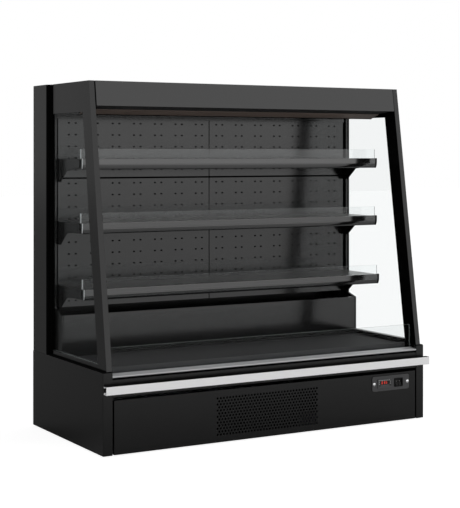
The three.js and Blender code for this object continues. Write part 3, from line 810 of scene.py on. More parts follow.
def turned(
    name: str, profile: Profile, centre: Point3, axis: Axis, steps: int = 32
) -> Piece:
    """Turns a profile of (radius, length) round an axis.

    Args:
        name: The piece's name.
        profile: Points from one end of the axis to the other.
        centre: Where the axis starts.
        axis: Its direction.
        steps: Segments round it.

    Returns:
        The object.
    """
    points = []
    for radius, run in profile:
        for i in range(steps):
            angle = 2 * math.pi * i / steps
            a, b = radius * math.cos(angle), radius * math.sin(angle)
            points.append([c + p for c, p in zip(centre, axis.point(a, b, run))])
    rings = len(profile)
    faces: list[Sequence[int]] = [
        range(steps),
        range(steps * rings - 1, steps * (rings - 1) - 1, -1),
    ]
    for ring in range(rings - 1):
        for i in range(steps):
            j = (i + 1) % steps
            a, b = ring * steps, (ring + 1) * steps
            faces.append((a + i, b + i, b + j, a + j))
    return solid(name, points, faces)


def softened(
    piece: Piece, width: float, segments: int = 2, angle: float = 35.0
) -> Piece:
    """Rounds a piece's edges.

    Args:
        piece: The object.
        width: Bevel width in millimetres.
        segments: Segments in the rounding.
        angle: Only edges sharper than this, in degrees, are rounded.

    Returns:
        The same piece.
    """
    return applied(
        piece,
        "BEVEL",
        width=width * MM,
        segments=segments,
        limit_method="ANGLE",
        angle_limit=math.radians(angle),
        harden_normals=False,
    )


def plank(
    name: str, x: Point2, y: Point2, z: Point2, width: float, segments: int = 2
) -> Piece:
    """Makes a rectangular piece with rounded edges.

    Args:
        name: The piece's name.
        x: Its reach in x.
        y: Its reach in y.
        z: Its reach in z.
        width: Bevel width in millimetres.
        segments: Segments in the rounding.

    Returns:
        The object.
    """
    return softened(slab(name, x, y, z), width, segments)


def repeated(piece: Piece, count: int, step: Point3) -> Piece:
    """Copies a piece's mesh in a row.

    Args:
        piece: The object.
        count: How many there are in all.
        step: From one to the next, in millimetres.

    Returns:
        The same piece.
    """
    return applied(
        piece,
        "ARRAY",
        count=count,
        use_relative_offset=False,
        use_constant_offset=True,
        constant_offset_displace=[s * MM for s in step],
    )


def joined(first: Piece, *others: Piece) -> Piece:
    """Puts several meshes into one object.

    Args:
        first: The object that stays.
        *others: Those that go into it.

    Returns:
        The first object.
    """
    activate(first)
    for other in others:
        other.select_set(True)
    bpy.ops.object.join()
    return first


def carved(piece: Piece, cutter: Piece, operation: str = "DIFFERENCE") -> Piece:
    """Cuts a piece with another, or melts the two together, and removes the other.

    Args:
        piece: The object to work on.
        cutter: What is taken out of it or put to it.
        operation: DIFFERENCE or UNION.

    Returns:
        The same piece.
    """
    applied(piece, "BOOLEAN", object=cutter, operation=operation, solver="EXACT")
    bpy.data.objects.remove(cutter)
    return piece


def placed(
    piece: Piece,
    material: Material,
    body: str = "cabinet",
    nodes: Sequence[str] = (),
    smooth: float = 35.0,
) -> Piece:
    """Gives a piece its finish, its body and the nodes it stands for.

    Args:
        piece: The object.
        material: Its finish.
        body: The body it rides on.
        nodes: The nodes it replaces.
        smooth: Edges flatter than this, in degrees, are shaded smooth.

    Returns:
        The same piece.
    """
    if not piece.data.materials:
        piece.data.materials.append(material)
    for polygon in piece.data.polygons:
        polygon.use_smooth = True
    piece.data.set_sharp_from_angle(angle=math.radians(smooth))
    applied(piece, "WEIGHTED_NORMAL", keep_sharp=True, weight=100)
    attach(piece, body)
    if nodes:
        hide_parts(*nodes)
    return piece


def two_faced(piece: Piece, face: Material, edge: Material, axis: Axis) -> Piece:
    """Gives a sheet one finish on its two faces and another on its edges.

    Args:
        piece: The sheet.
        face: Finish of the faces.
        edge: Finish of the edges.
        axis: The direction that the faces look in.

    Returns:
        The same piece.
    """
    piece.data.materials.append(face)
    piece.data.materials.append(edge)
    for polygon in piece.data.polygons:
        polygon.material_index = 0 if abs(polygon.normal[axis.value]) > 0.9 else 1
    return piece


# ------------------------------------------------------------------ pieces


class ServicePanel:
    """The perforated panel across the base and the controls on it."""

    BODY = "service_panel"

    def __init__(self, grille: Grille, controls: Controls) -> None:
        """Keeps the sizes of the intake and of the controls."""
        self.grille = grille
        self.at = controls

    def build(self) -> None:
        """Makes the panel, the plate, the screws, the thermostat and the marks."""
        self._panel()
        self._plate()
        self._housing()
        for number, x in enumerate(self.at.screws):
            self._screw(number, x)
        self._thermostat()
        for body, x in zip(("light_rocker", "power_rocker"), self.at.rockers):
            stroke = slab(f"{body}_mark", around(x, 0.9), (-5.25, -4.85), (172.0, 177.8))
            placed(stroke, printed_white(), body)

    def _opening(self, x: float, size: Point2) -> Piece:
        """Makes the cutter for an opening at the plate's middle height.

        Args:
            x: Its middle.
            size: Its width and height.

        Returns:
            The cutter.
        """
        height = around(self.at.plate_z, size[1] / 2)
        return slab("opening", around(x, size[0] / 2), (-8.0, 30.0), height)

    def _holes(self) -> Piece:
        """Makes the cutter for the intake: one hole, repeated in staggered rows.

        Returns:
            The cutter.
        """
        grille = self.grille
        start = grille.centre - (grille.columns - 1) * grille.pitch_x / 2
        profile = [(grille.radius, -1.0), (grille.radius, 3.0)]
        rows = []
        for odd in (0, 1):
            x, z = start + odd * grille.pitch_x / 2, grille.bottom + odd * grille.pitch_z
            hole = turned("hole", profile, (x, 0.0, z), Axis.Y, steps=14)
            repeated(hole, grille.columns - odd, (grille.pitch_x, 0.0, 0.0))
            repeated(hole, (grille.rows + 1) // 2 - odd, (0.0, 0.0, 2 * grille.pitch_z))
            rows.append(hole)
        return joined(*rows)

    def _panel(self) -> None:
        """Makes the folded sheet with the intake and the openings for the controls."""
        at = self.at
        reach = ((-725.5, 725.5), (0.0, 16.0), (0.6, 210.0))
        panel = plank("front_panel_sheet", *reach, 1.2, 3)
        carved(panel, slab("inside", (-723.5, 723.5), (2.0, 20.0), (2.6, 208.0)))
        carved(panel, self._holes())
        carved(panel, self._opening(at.thermostat_x, at.thermostat_hole))
        carved(panel, self._opening(at.switch_x, at.housing_hole))
        finish = charcoal_base_shaded()
        placed(panel, finish, self.BODY, ["front_panel"], smooth=20.0)

    def _plate(self) -> None:
        """Makes the plate with its two openings."""
        at = self.at
        outline = rounded(at.width, at.height, at.radius, (at.plate_x, at.plate_z), 8)
        plate = prism("control_plate_cover", outline, Axis.Y, at.front, at.back)
        softened(plate, 0.9, 3)
        carved(plate, self._opening(at.thermostat_x, at.thermostat_hole))
        carved(plate, self._opening(at.switch_x, at.housing_body))
        # Coating of the plate: a lighter grey, and duller, than the sheet round it.
        paint = SHOP.coating("coated_steel_plate", "424243", 0.33)
        placed(plate, paint, self.BODY, ["control_plate"])

    def _housing(self) -> None:
        """Makes the switch housing: collar, body, two windows and the blank slot."""
        at = self.at
        outline = rounded(46.0, 38.0, 2.4, (at.switch_x, at.plate_z), 4)
        housing = softened(prism("housing", outline, Axis.Y, -5.9, -3.2), 0.7)
        body = slab("body", (612.0, 652.0), (-3.4, 14.0), (152.0, 184.0))
        carved(housing, body, "UNION")
        for x in at.rockers:
            carved(housing, slab("window", around(x, 7.2), (-8.0, 16.0), at.window_z))
        carved(housing, slab("blank", (645.0, 651.0), (-8.0, -0.9), at.window_z))
        placed(housing, rocker_plastic(), self.BODY)
        slot = plank("blank_slot", (645.2, 650.8), (-1.6, -0.9), (153.5, 182.5), 0.2)
        placed(slot, black_rubber(), self.BODY)

    def _screw(self, number: int, x: float) -> None:
        """Makes a domed screw head with a cross recess.

        Args:
            number: Which of the two.
            x: Its place.
        """
        z = self.at.plate_z
        dome = [
            (0.4, -6.6),
            (3.6, -6.2),
            (6.0, -5.3),
            (7.3, -4.1),
            (7.6, -3.3),
            (0.4, -3.3),
        ]
        head = turned(f"plate_screw_{number + 1}", dome, (x, 0.0, z), Axis.Y, 28)
        middle = metres(x, 0.0, z)
        for turn in (45.0, 135.0):
            c, s = math.cos(math.radians(turn)), math.sin(math.radians(turn))
            bar = slab("bar", around(x, 3.0), (-7.0, -5.0), (167.4, 168.6))
            for vertex in bar.data.vertices:
                arm = vertex.co - middle
                turned_arm = (arm.x * c - arm.z * s, arm.y, arm.x * s + arm.z * c)
                vertex.co = middle + Vector(turned_arm)
            carved(head, bar)
        placed(head, chrome(), self.BODY)

    def _thermostat(self) -> None:
        """Makes the bezel with its body and key pockets, and the display in it."""
        x, z = self.at.thermostat_x, self.at.plate_z
        outline = rounded(77.0, 39.0, 3.0, (x, z), 5)
        bezel = softened(prism("thermostat_bezel", outline, Axis.Y, -7.0, -3.6), 0.8, 3)
        recess = rounded(69.0, 31.0, 2.0, (x, z), 4)
        carved(bezel, prism("recess", recess, Axis.Y, -9.0, -5.6))
        back = slab("body", around(x, 35.5), (-4.0, 55.0), around(z, 16.5))
        pockets = [
            slab("pocket", around(x + s * 27.5, 3.8), (-9.0, -3.7), (z - 9.8, z - 5.2))
            for s in (-1, 1)
        ]
        carved(bezel, back, "UNION")
        carved(bezel, joined(*pockets))
        # Dark grey moulding, duller than the plate round it.
        grey_moulding = SHOP.moulded("moulded_plastic_bezel", "464647", 0.4)
        placed(bezel, grey_moulding, self.BODY, ["thermostat"])
        display = z + 4.5
        outline = rounded(50.0, 17.0, 1.5, (x, display), 4)
        window = softened(prism("thermostat_window", outline, Axis.Y, -6.4, -5.6), 0.3)
        # Smoked window: black, with a sharp reflection and no relief.
        smoked = SHOP.coating("display_window_smoked", "100d0e", 0.08, peel=0.0)
        placed(window, smoked, self.BODY)
        self._digits(x - 15.0, display)
        self._print(x, z)

    def _print(self, x: float, z: float) -> None:
        """Makes the small printed marks round the display, in relief.

        Args:
            x: The thermostat's middle.
            z: Its middle height.
        """
        depth = (-6.0, -5.5)
        marks = [
            slab("mark", around(x + dx, 3.0), depth, (z + 13.2, z + 15.2))
            for dx in (-30.0, -21.0, -12.0, -3.0, 6.0, 15.0, 24.0)
        ]
        marks += [
            slab("mark", around(x + dx, 1.3), depth, around(z + dz, 1.2))
            for dx in (-30.0, 30.0)
            for dz in (-1.0, 8.0)
        ]
        printed = joined(*marks)
        printed.name = "thermostat_print"
        placed(printed, printed_white(), self.BODY)

    def _digits(self, start: float, middle: float) -> None:
        """Makes the lit figures of the display, each from slim bars.

        Args:
            start: The x of the first figure's middle.
            middle: The z of the figures' middle.
        """
        width, height, bar = 5.2, 5.0, 1.1
        segments = {
            "a": (0.0, height, True),
            "g": (0.0, 0.0, True),
            "d": (0.0, -height, True),
            "f": (-width / 2, height / 2, False),
            "b": (width / 2, height / 2, False),
            "e": (-width / 2, -height / 2, False),
            "c": (width / 2, -height / 2, False),
        }
        depth = (-6.6, -6.4)
        bars = []
        for place, figure in enumerate(("abcdef", "abcdg", "acdfg")):
            x = start + place * 11.0
            for key in figure:
                dx, dz, flat = segments[key]
                half = (width / 2 - 0.7, bar / 2) if flat else (bar / 2, height / 2 - 0.6)
                reach = around(x + dx, half[0]), depth, around(middle + dz, half[1])
                bars.append(slab("segment", *reach))
        dot = around(start + 16.5, 0.6), depth, around(middle - height, 0.6)
        figures = joined(*bars, slab("dot", *dot))
        figures.name = "thermostat_figures"
        # Red segments that glow a little.
        red = SHOP.glow("display_segments_red", "d83a2c", 1.6)
        placed(figures, red, self.BODY)


class BackWall:
    """The slotted panels behind the shelves and the black strips beside them."""

    def __init__(self, slots: BackSlots) -> None:
        """Keeps the pattern of the slots."""
        self.slots = slots

    def build(self) -> None:
        """Makes both tiers of panels and the strips, on both halves."""
        for side in Side:
            self._panel("lower", side, (514.5, 1054.0), 539.5, 11)
            self._panel("upper", side, (1060.0, 1325.0), 1092.0, 5)
            self._joint(side)
            self._corner_seal(side)

    def _joint(self, side: Side) -> None:
        """Makes the black strip behind the seam between the two tiers, as painted shade in
        the seam.

        Args:
            side: Its half of the cabinet.
        """
        low, high = sorted((side.value * 4.2, side.value * 723.5))
        reach = ((low, high), (554.4, 556.0), (1047.0, 1067.0))
        strip = plank(f"back_panel_joint_{side.word}", *reach, 0.3)
        # Black strip as painted shade behind the seam.
        placed(strip, black_rubber())

    def _corner_seal(self, side: Side) -> None:
        """Makes the black strip that wraps the rear wall's rounded front corner.

        Args:
            side: Its side of the cabinet.
        """
        middle, front, radius, skin, flat = 764.5, 571.0, 8.0, 0.7, 756.6
        outer, inner = [], []
        for step in range(9):
            angle = math.radians(-90.0 + 65.0 * step / 8)
            for ring, reach in ((outer, radius + skin), (inner, radius - 0.2)):
                x, y = middle + reach * math.cos(angle), front + reach * math.sin(angle)
                ring.append((x, y))
        plan = [(flat, outer[0][1]), *outer, *reversed(inner), (flat, inner[0][1])]
        outline = [(side.value * x, y) for x, y in plan]
        strip = prism(f"corner_seal_{side.word}", outline, Axis.Z, 319.0, 1449.0)
        placed(strip, black_rubber())

    def _cutter(self, side: Side, first: float, rows: int) -> Piece:
        """Makes the cutter for all slots of one panel.

        Args:
            side: Its half of the cabinet.
            first: Height of the lowest row.
            rows: Number of rows.

        Returns:
            The cutter.
        """
        slots = self.slots
        x = slots.first_pair - slots.spread / 2
        if side is Side.LEFT:
            x = -slots.first_pair - slots.spread / 2 - (slots.pairs - 1) * slots.pair_pitch
        radius = slots.height / 2 - 0.05
        outline = rounded(slots.width, slots.height, radius, (x, first), 4)
        cutter = prism("slot", outline, Axis.Y, 549.0, 556.0)
        repeated(cutter, 2, (slots.spread, 0.0, 0.0))
        repeated(cutter, slots.pairs, (slots.pair_pitch, 0.0, 0.0))
        return repeated(cutter, rows, (0.0, 0.0, slots.row_pitch))

    def _panel(self, tier: str, side: Side, z: Point2, first: float, rows: int) -> None:
        """Makes one panel with its side flanges and slots.

        Args:
            tier: Lower or upper.
            side: Its half of the cabinet.
            z: Its reach in height.
            first: Height of the lowest row of slots.
            rows: Number of rows.
        """
        seam, end, sheet = 1.75, 726.0, 2.0
        face, fold = 552.0, 567.0
        plan = [
            (seam, face),
            (end, face),
            (end, fold),
            (end - sheet, fold),
            (end - sheet, face + sheet),
            (seam + sheet, face + sheet),
            (seam + sheet, fold),
            (seam, fold),
        ]
        outline = [(side.value * a, b) for a, b in plan]
        name = f"back_panel_{tier}_{side.word}"
        panel = softened(prism(f"{name}_sheet", outline, Axis.Z, *z), 0.7)
        carved(panel, self._cutter(side, first, rows))
        placed(panel, charcoal(), nodes=[name], smooth=20.0)


class Canopy:
    """The air discharge and the light cover under the canopy."""

    HALF = 732.2  # half the grille's length
    FRONT = (179.2, 1350.0)  # (y, z) of its front lower edge
    REAR = (268.2, 1340.5)  # (y, z) of its rear lower edge
    PITCH = 9.0  # of the cells along the cabinet
    ROWS = 11

    def build(self) -> None:
        """Makes the honeycomb, the light cover and its seal."""
        self._honeycomb()
        self._light_cover()
        reach = ((-729.0, 729.0), (327.0, 330.6), (1318.4, 1322.6))
        seal = plank("light_cover_seal", *reach, 0.5)
        placed(seal, black_rubber())

    def _cells(self, odd: int) -> Piece:
        """Makes every other row of six-sided cells, along the underside's slope.

        Args:
            odd: 0 for the first row and every second one after it, 1 for the others.

        Returns:
            The rows.
        """
        (front, foot), (rear, end) = self.FRONT, self.REAR
        slope = (end - foot) / (rear - front)
        depth = (rear - front - 4.0) / self.ROWS
        outer = self.PITCH / math.sqrt(3)
        cx = -self.HALF + self.PITCH / 2 + 1.0 + odd * self.PITCH / 2
        cy = front + 2.0 + depth * (0.5 + odd)
        points = []
        for level in (0.0, 11.4):
            for radius in (outer, outer - 0.55):
                for i in range(6):
                    angle = math.radians(30 + 60 * i)
                    y = cy + radius * math.sin(angle) * depth / (outer * 1.5)
                    z = foot + slope * (y - front) + level
                    points.append((cx + radius * math.cos(angle), y, z))
        faces = []
        for i in range(6):
            j = (i + 1) % 6
            faces += [
                (i, j, 6 + j, 6 + i),
                (12 + i, 18 + i, 18 + j, 12 + j),
                (i, 12 + i, 12 + j, j),
                (6 + i, 6 + j, 18 + j, 18 + i),
            ]
        cells = solid("cell", points, faces)
        columns = int((2 * self.HALF - 2.0) / self.PITCH) - odd
        repeated(cells, columns, (self.PITCH, 0.0, 0.0))
        step = (0.0, 2 * depth, 2 * depth * slope)
        return repeated(cells, (self.ROWS + 1) // 2 - odd, step)

    def _honeycomb(self) -> None:
        """Makes the grid of cells in its rim."""
        grids = [self._cells(odd) for odd in (0, 1)]
        (front, foot), (rear, end), wall = self.FRONT, self.REAR, 1.6
        outline = [self.FRONT, self.REAR, (rear, end + 12.0), (front, foot + 12.0)]
        rim = prism("discharge_rim", outline, Axis.X, -self.HALF, self.HALF)
        outline = [
            (front + wall, foot - 3.0),
            (rear - wall, end - 3.0),
            (rear - wall, end + 15.0),
            (front + wall, foot + 15.0),
        ]
        carved(rim, prism("inside", outline, Axis.X, 1.0 - self.HALF, self.HALF - 1.0))
        grid = joined(rim, *grids)
        grid.name = "discharge_honeycomb"
        # Near-black plastic, so that the cells look dark.
        dark = SHOP.moulded("moulded_plastic_honeycomb", "0e0e0f", 0.5)
        placed(grid, dark, nodes=["discharge_grille"])

    def _light_cover(self) -> None:
        """Makes the smoked cover in three flat bands along the slope."""
        start, end = Vector((269.4, 1339.9)), Vector((326.8, 1322.2))
        along = (end - start).normalized()
        out = Vector((along.y, -along.x))
        length = (end - start).length
        outline = [start]
        for band in range(3):
            low, high = length * band / 3, length * (band + 1) / 3
            outline += [
                start + along * low + out * 0.4,
                start + along * (low + 1.2) + out * 1.6,
                start + along * (high - 1.2) + out * 1.6,
                start + along * high + out * 0.4,
            ]
        outline.append(end)
        profile = [(p.x, p.y) for p in outline]
        cover = prism("light_cover", profile, Axis.X, -729.0, 729.0)
        # Smoked diffuser, seen unlit: warm brown and satin.
        brown = SHOP.coating("diffuser_smoked_brown", "6f625b", 0.3, peel=0.0, gloss=0.4)
        placed(cover, brown, smooth=10.0)


class Shelf:
    """The front, the fence and the brackets of one shelf."""

    def __init__(self, tier: Tier) -> None:
        """Keeps the shelf's place and the name of its body."""
        self.tier = tier
        self.body = f"shelf_{tier.index}"

    def build(self) -> None:
        """Makes everything but the tray, which keeps its node."""
        self._rail()
        self._fence()
        for side in Side:
            self._bracket(side)

    def _rail(self) -> None:
        """Makes the folded front and the caps at its ends, the left one pale and thin as a
        painted highlight, the right one black as painted shade.
        """
        y, z = self.tier.front, self.tier.foot
        outline = [
            (y + 12.0, z + 44.0),
            (y + 2.6, z + 44.0),
            (y + 0.8, z + 43.2),
            (y, z + 41.4),
            (y, z + 21.5),
            (y + 0.9, z + 20.6),
            (y + 0.9, z + 19.6),
            (y + 0.2, z + 18.4),
            (y + 1.9, z + 12.5),
            (y + 4.0, z + 6.5),
            (y + 5.8, z + 3.0),
            (y + 8.2, z),
            (y + 12.0, z),
        ]
        thin = [(y + 6.0, z + 44.0), *outline[1:-2], (y + 6.0, z + 3.0)]
        front = prism(f"{self.body}_front", outline, Axis.X, -729.0, 721.8)
        softened(front, 0.5, 2, 50.0)
        node = f"{self.body}_rail"
        placed(front, rail_coating(), self.body, [node], 30.0)
        # Painted light at the ends: the left cap pale as a highlight, the right cap black
        # as shade.
        for side, reach, shape, material in (
            (Side.LEFT, (-731.6, -729.2), thin, highlight_plastic()),
            (Side.RIGHT, (722.0, 731.6), outline, black_paint()),
        ):
            cap = prism(f"{self.body}_end_{side.word}", shape, Axis.X, *reach)
            placed(softened(cap, 0.5, 2, 50.0), material, self.body)

    def _fence(self) -> None:
        """Makes the clear fence and the clip at its left end."""
        y, z = self.tier.front + 14.5, self.tier.foot + 42.3
        reach = ((-729.6, 729.6), (y, y + 4.0), (z, z + 41.7))
        fence = plank(f"{self.body}_glazing", *reach, 0.6)
        face = clear_acrylic()
        if self.tier.index == 1:
            # The lowest fence mirrors less than the other two: a copy of the acrylic with
            # painted shade.
            face = SHOP.pane("acrylic_clear_shaded", "fdfefe", 0.014, 0.03)
        two_faced(fence, face, acrylic_edge(), Axis.Y)
        placed(fence, face, self.body, [f"{self.body}_fence"])
        # The clip is pale as a painted highlight on the fence's left end.
        reach = ((-731.6, -729.8), (y + 0.2, y + 9.4), (z + 2.0, z + 41.0))
        clip = plank(f"{self.body}_fence_clip", *reach, 0.4)
        placed(clip, highlight_plastic(), self.body)

    def _bracket(self, side: Side) -> None:
        """Makes a bracket: a block at the wall that tapers to the front.

        Args:
            side: Its end of the shelf.
        """
        top, wall = self.tier.foot + 42.0, 555.7
        tip = self.tier.front + 32.3
        outline = [
            (wall, top),
            (wall, top - 95.0),
            (wall - 2.0, top - 97.0),
            (wall - 37.0, top - 97.0),
            (wall - 43.0, top - 95.0),
            (wall - 47.5, top - 90.0),
            (wall - 98.0, top - 51.5),
            (wall - 103.0, top - 47.0),
            (tip + 3.0, top - 34.0),
            (tip, top - 31.0),
            (tip, top),
        ]
        reach = sorted((side.value * 727.3, side.value * 730.3))
        name = f"{self.body}_bracket_{side.word}"
        plate = softened(prism(f"{name}_plate", outline, Axis.X, *reach), 0.5, 2, 50.0)
        placed(plate, frame_coating(), self.body, [name])


class Glazing:
    """The side panes, the low front glass and the strips at its foot."""

    def build(self) -> None:
        """Makes the three panes, the black strip of painted shadow under the nose and the
        strip of painted highlight on the deck's lip.
        """
        for side in Side:
            self._side(side)
        reach = ((-730.2, 730.2), (42.3, 50.3), (291.6, 408.0))
        pane = plank("front_pane", *reach, 0.9, 3)
        two_faced(pane, clear_glass(), glass_edge(), Axis.Y)
        placed(pane, clear_glass(), nodes=["front_glass"])
        # Black strip in the gap under the nose: painted shadow.
        seal = plank("nose_shadow_strip", (-730.0, 730.0), (8.0, 13.9), (290.3, 296.8), 0.4)
        placed(seal, black_rubber())
        lip_highlight_strip = plank("deck_lip_highlight", (-728.0, 728.0), (79.0, 79.9), (311.0, 326.4), 0.3)
        # Glossier grey copy of the deck's coating on its front lip, seen through the front
        # glass: a painted highlight.
        lip = SHOP.coating("coated_steel_lip", "404041", 0.5, gloss=0.3)
        placed(lip_highlight_strip, lip, "deck")

    @staticmethod
    def _front(z: float) -> float:
        """The y of a side pane's slanted front edge at a height."""
        foot, lean, base, height, border = 3.0, 169.0, 318.0, 1132.0, 78.3
        return foot + lean * (z - base) / height + border

    def _side(self, side: Side) -> None:
        """Makes a side pane, black along its rear edge where the gasket holds it.

        Args:
            side: Its side of the cabinet.
        """
        low, high, rear = 340.3, 1324.7, 540.7
        outline = [
            (self._front(low), low),
            (rear, low),
            (rear, high),
            (self._front(high), high),
        ]
        reach = sorted((side.value * 745.3, side.value * 753.3))
        pane = softened(prism(f"side_pane_{side.word}", outline, Axis.X, *reach), 0.8)
        two_faced(pane, clear_glass(), glass_edge(), Axis.X)
        pane.data.materials.append(black_rubber())
        for polygon in pane.data.polygons:
            if polygon.normal.y > 0.5:
                polygon.material_index = 2
        placed(pane, clear_glass(), nodes=[f"side_glass_{side.word}"])


class Bumper:
    """The bright section across the front with a black strip on top as painted shade."""

    def build(self) -> None:
        """Makes the section and the black strip of painted shade on its top."""
        outline = [
            (-12.4, 239.0),
            (-12.4, 246.5),
            (-14.9, 246.5),
            (-14.9, 241.5),
            (-33.9, 241.5),
            (-33.9, 269.5),
            (-14.9, 269.5),
            (-14.9, 264.5),
            (-12.4, 264.5),
            (-12.4, 271.0),
            (-35.4, 271.0),
            (-36.4, 270.0),
            (-36.4, 240.0),
            (-35.4, 239.0),
        ]
        ends = (-775.3, 775.3)
        rail = softened(prism("bumper_section", outline, Axis.X, *ends), 0.4, 2, 50.0)
        placed(rail, bright_aluminium(), nodes=["bumper_rail"])
        # Black strip on the section's top: painted shade.
        top_shade_strip = plank("bumper_top_shade", ends, (-35.6, -12.4), (271.0, 272.0), 0.3)
        placed(top_shade_strip, black_rubber())


class Underframe:
    """The levelling feet."""

    def build(self) -> None:
        """Makes the four feet, each a pad on a threaded stem."""
        profile = [
            (18.5, -6.0),
            (20.0, -5.4),
            (20.0, -3.2),
            (18.0, -2.0),
            (9.0, -1.2),
            (8.0, 0.0),
            (8.0, 3.7),
        ]
        for end, y in (("front", 75.0), ("rear", 641.0)):
            for side in Side:
                node = f"levelling_foot_{end}_{side.word}"
                place = (side.value * 697.5, y, 0.0)
                foot = turned(f"{node}_pad", profile, place, Axis.Z, 36)
                placed(foot, black_plastic(), nodes=[node])


# ------------------------------------------------------------------ nodes that stay


@dataclass(frozen=True)
class Kept:
    """Nodes that keep their solid, with their finish and edge rounding in mm."""

    nodes: tuple[str, ...]
    material: Material
    edge: float


def pair(stem: str) -> tuple[str, ...]:
    """The left and the right node of this name."""
    return tuple(f"{stem}_{side.word}" for side in Side)


def kept_nodes() -> list[Kept]:
    """Lists the nodes that stay.

    Returns:
        Groups of one finish and rounding.
    """
    trays = tuple(f"shelf_{tier.index}_tray" for tier in TIERS)
    fans = ("condenser_fan", "evaporator_fan_left", "evaporator_fan_right")
    # Trays: black, glossier and with less orange peel than the other black parts.
    tray = SHOP.coating("coated_steel_tray", "050505", 0.3, peel=0.005, gloss=0.7)
    # Machinery: zinc with spangle, bright ribbed fins, a dull black coil that is painted
    # shade behind the intake holes, black enamel.
    zinc = SHOP.spangled("galvanised_steel", "9a9ea1")
    fins = SHOP.brushed("fin_stock_aluminium", "b4b8ba", 0.4, (900.0, 40.0, 40.0))
    shaded_coil = SHOP.coating("coil_painted_shade_black", "0c0c0c", 0.5, gloss=0.2)
    enamel = SHOP.coating("enamel_black", "0b0b0c", 0.35)
    return [
        Kept(pair("base_end"), charcoal_base_shaded(), 0.6),
        Kept(pair("side_frame"), frame_coating(), 3.0),
        Kept(("rear_wall", "roof_panel"), frame_coating(), 1.5),
        Kept(("insulated_tub",), charcoal_base_shaded(), 1.5),
        Kept(("fascia", "canopy_liner", "plenum_cover"), charcoal(), 0.6),
        Kept(("deck_panel",), deck_coating(), 0.5),
        Kept(("return_grille",), deck_coating(), 0.0),
        Kept(trays, tray, 0.6),
        Kept(pair("upright"), black_paint(), 1.0),
        Kept(pair("side_gasket"), black_rubber(), 0.8),
        Kept(("nose_profile",), satin_aluminium(), 0.5),
        Kept(("bumper_bar",), black_paint(), 1.0),
        Kept(("rocker_light", "rocker_power"), rocker_plastic(), 0.6),
        Kept(pair("thermostat_key"), black_plastic(), 0.3),
        Kept(("chassis_tray",), zinc, 0.0),
        Kept(("evaporator",), fins, 0.4),
        Kept(("condenser",), shaded_coil, 0.4),
        Kept(fans, black_plastic(), 0.5),
        Kept(("compressor",), enamel, 1.0),
    ]


def dress_nodes() -> None:
    """Gives each node that stays its finish and softly rounded edges.

    An edge of 0 leaves a node's edges as they are.
    """
    for group in kept_nodes():
        for name in group.nodes:
            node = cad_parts[name]
            node.data.materials.clear()
            node.data.materials.append(group.material)
            if not group.edge:
                continue
            node.modifiers.new("weld", "WELD").merge_threshold = 0.00002
            flat = node.modifiers.new("flat", "DECIMATE")
            flat.decimate_type = "DISSOLVE"
            flat.angle_limit = math.radians(0.5)
            bevel = node.modifiers.new("edges", "BEVEL")
            bevel.width = group.edge * MM
            bevel.segments = 3
            bevel.limit_method = "ANGLE"
            bevel.angle_limit = math.radians(40)


# ------------------------------------------------------------------ studio


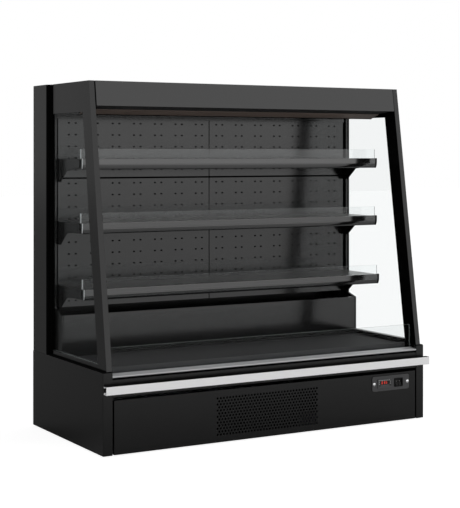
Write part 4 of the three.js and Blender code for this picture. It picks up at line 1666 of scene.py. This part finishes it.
class Studio:
    """Floor, light and camera."""

    FLOOR_REACH = 30000.0
    # The floor darkens towards the cabinet, as painted shade of the cabinet on it: (place,
    # tone), 0 at 3 m before the frame's origin and 1 at 0.5 m behind it.
    FLOOR_SHADE_TONES = ((0.12, 0.92), (0.37, 0.64), (0.6, 0.46), (0.77, 0.4), (0.89, 0.2))
    FLOOR_LIFT = 0.9  # light that the floor adds where the camera sees it
    LENS = 95.24  # focal length in mm on a sensor 36 mm wide
    RISE = -0.1966  # vertical shift of the lens
    STAND = (-2.9281, -5.0314, 1.1644)  # the camera's place in metres
    TURN = -30.07  # its heading in degrees, level

    def build(self) -> None:
        """Sets the stage."""
        self._world()
        self._floor()
        self._camera()
        view = bpy.context.scene.view_settings
        view.view_transform = "Standard"
        view.look = "None"
        view.exposure = 0.0
        view.gamma = 1.0

    def _world(self) -> None:
        """Makes the light: bright from the right and the front, white to the camera."""
        world = bpy.data.worlds.new("studio")
        bpy.context.scene.world = world
        world.use_nodes = True
        tree = world.node_tree
        tree.nodes.clear()
        where = add_node(tree, "ShaderNodeTexCoord").outputs["Generated"]
        smooth = {"interpolation_type": "SMOOTHSTEP"}
        axes = add_node(tree, "ShaderNodeSeparateXYZ", {"Vector": where}).outputs
        side = ranged(tree, axes["X"], (0.29, 1.0), (-0.25, 0.3), **smooth)
        front = ranged(tree, axes["Y"], (1.0, 0.0), (-0.5, 0.1), **smooth)
        both = combined(tree, "MAXIMUM", side, front)
        seen = add_node(tree, "ShaderNodeLightPath").outputs["Is Camera Ray"]
        shown = combined(tree, "MAXIMUM", both, seen)
        light = add_node(
            tree, "ShaderNodeBackground", {"Color": WHITE, "Strength": shown}
        )
        add_node(tree, "ShaderNodeOutputWorld", {"Surface": light.outputs["Background"]})

    def _floor(self) -> None:
        """Makes the pale floor, its colour darker towards the cabinet as painted shade."""
        reach = self.FLOOR_REACH
        corners = ((-reach, -reach), (reach, -reach), (reach, reach), (-reach, reach))
        points = [(x, y, -DATUM_Z) for x, y in corners]
        floor = solid("studio_floor", points, [(0, 1, 2, 3)])
        material = bpy.data.materials.new("studio_floor_pale")
        material.use_nodes = True
        tree = material.node_tree
        tree.nodes.clear()
        place = add_node(tree, "ShaderNodeTexCoord").outputs["Object"]
        depth = ranged(tree, split(tree, place, "Y"), (0.0, 1.0), (-3.0, 0.5))
        shade = add_node(tree, "ShaderNodeValToRGB", {"Fac": depth})
        ramp = shade.color_ramp
        ramp.elements[0].position = self.FLOOR_SHADE_TONES[0][0]
        ramp.elements[-1].position = self.FLOOR_SHADE_TONES[-1][0]
        for position, _ in self.FLOOR_SHADE_TONES[1:-1]:
            ramp.elements.new(position)
        for element, (_, tone) in zip(ramp.elements, self.FLOOR_SHADE_TONES):
            element.color = grey(tone)
        matt = add_node(tree, "ShaderNodeBsdfDiffuse", {"Color": shade.outputs["Color"]})
        values = {"Color": WHITE, "Strength": self.FLOOR_LIFT}
        lift = add_node(tree, "ShaderNodeEmission", values)
        values = {0: matt.outputs["BSDF"], 1: lift.outputs["Emission"]}
        lifted = add_node(tree, "ShaderNodeAddShader", values)
        seen = add_node(tree, "ShaderNodeLightPath").outputs["Is Camera Ray"]
        values = {"Fac": seen, 1: matt.outputs["BSDF"], 2: lifted.outputs["Shader"]}
        pick = add_node(tree, "ShaderNodeMixShader", values)
        add_node(tree, "ShaderNodeOutputMaterial", {"Surface": pick.outputs["Shader"]})
        floor.data.materials.append(material)

    def _camera(self) -> None:
        """Puts the camera where the photograph was taken from."""
        data = bpy.data.cameras.new("photo_camera")
        data.lens = self.LENS
        data.sensor_width = 36.0
        data.sensor_fit = "AUTO"
        data.shift_y = self.RISE
        data.clip_start = 0.1
        data.clip_end = 200.0
        camera = bpy.data.objects.new("photo_camera", data)
        camera.location = self.STAND
        camera.rotation_euler = (math.radians(90.0), 0.0, math.radians(self.TURN))
        bpy.context.scene.collection.objects.link(camera)
        bpy.context.scene.camera = camera


# ------------------------------------------------------------------ main


def main() -> None:
    logging.basicConfig(level=logging.INFO, format="%(name)s: %(message)s")
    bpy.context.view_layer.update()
    Studio().build()
    dress_nodes()
    for part in (
        ServicePanel(Grille(), Controls()),
        BackWall(BackSlots()),
        Canopy(),
        Glazing(),
        Bumper(),
        Underframe(),
        *(Shelf(tier) for tier in TIERS),
    ):
        part.build()
        LOG.info("built %s", type(part).__name__)


if __name__ == "__main__":
    main()
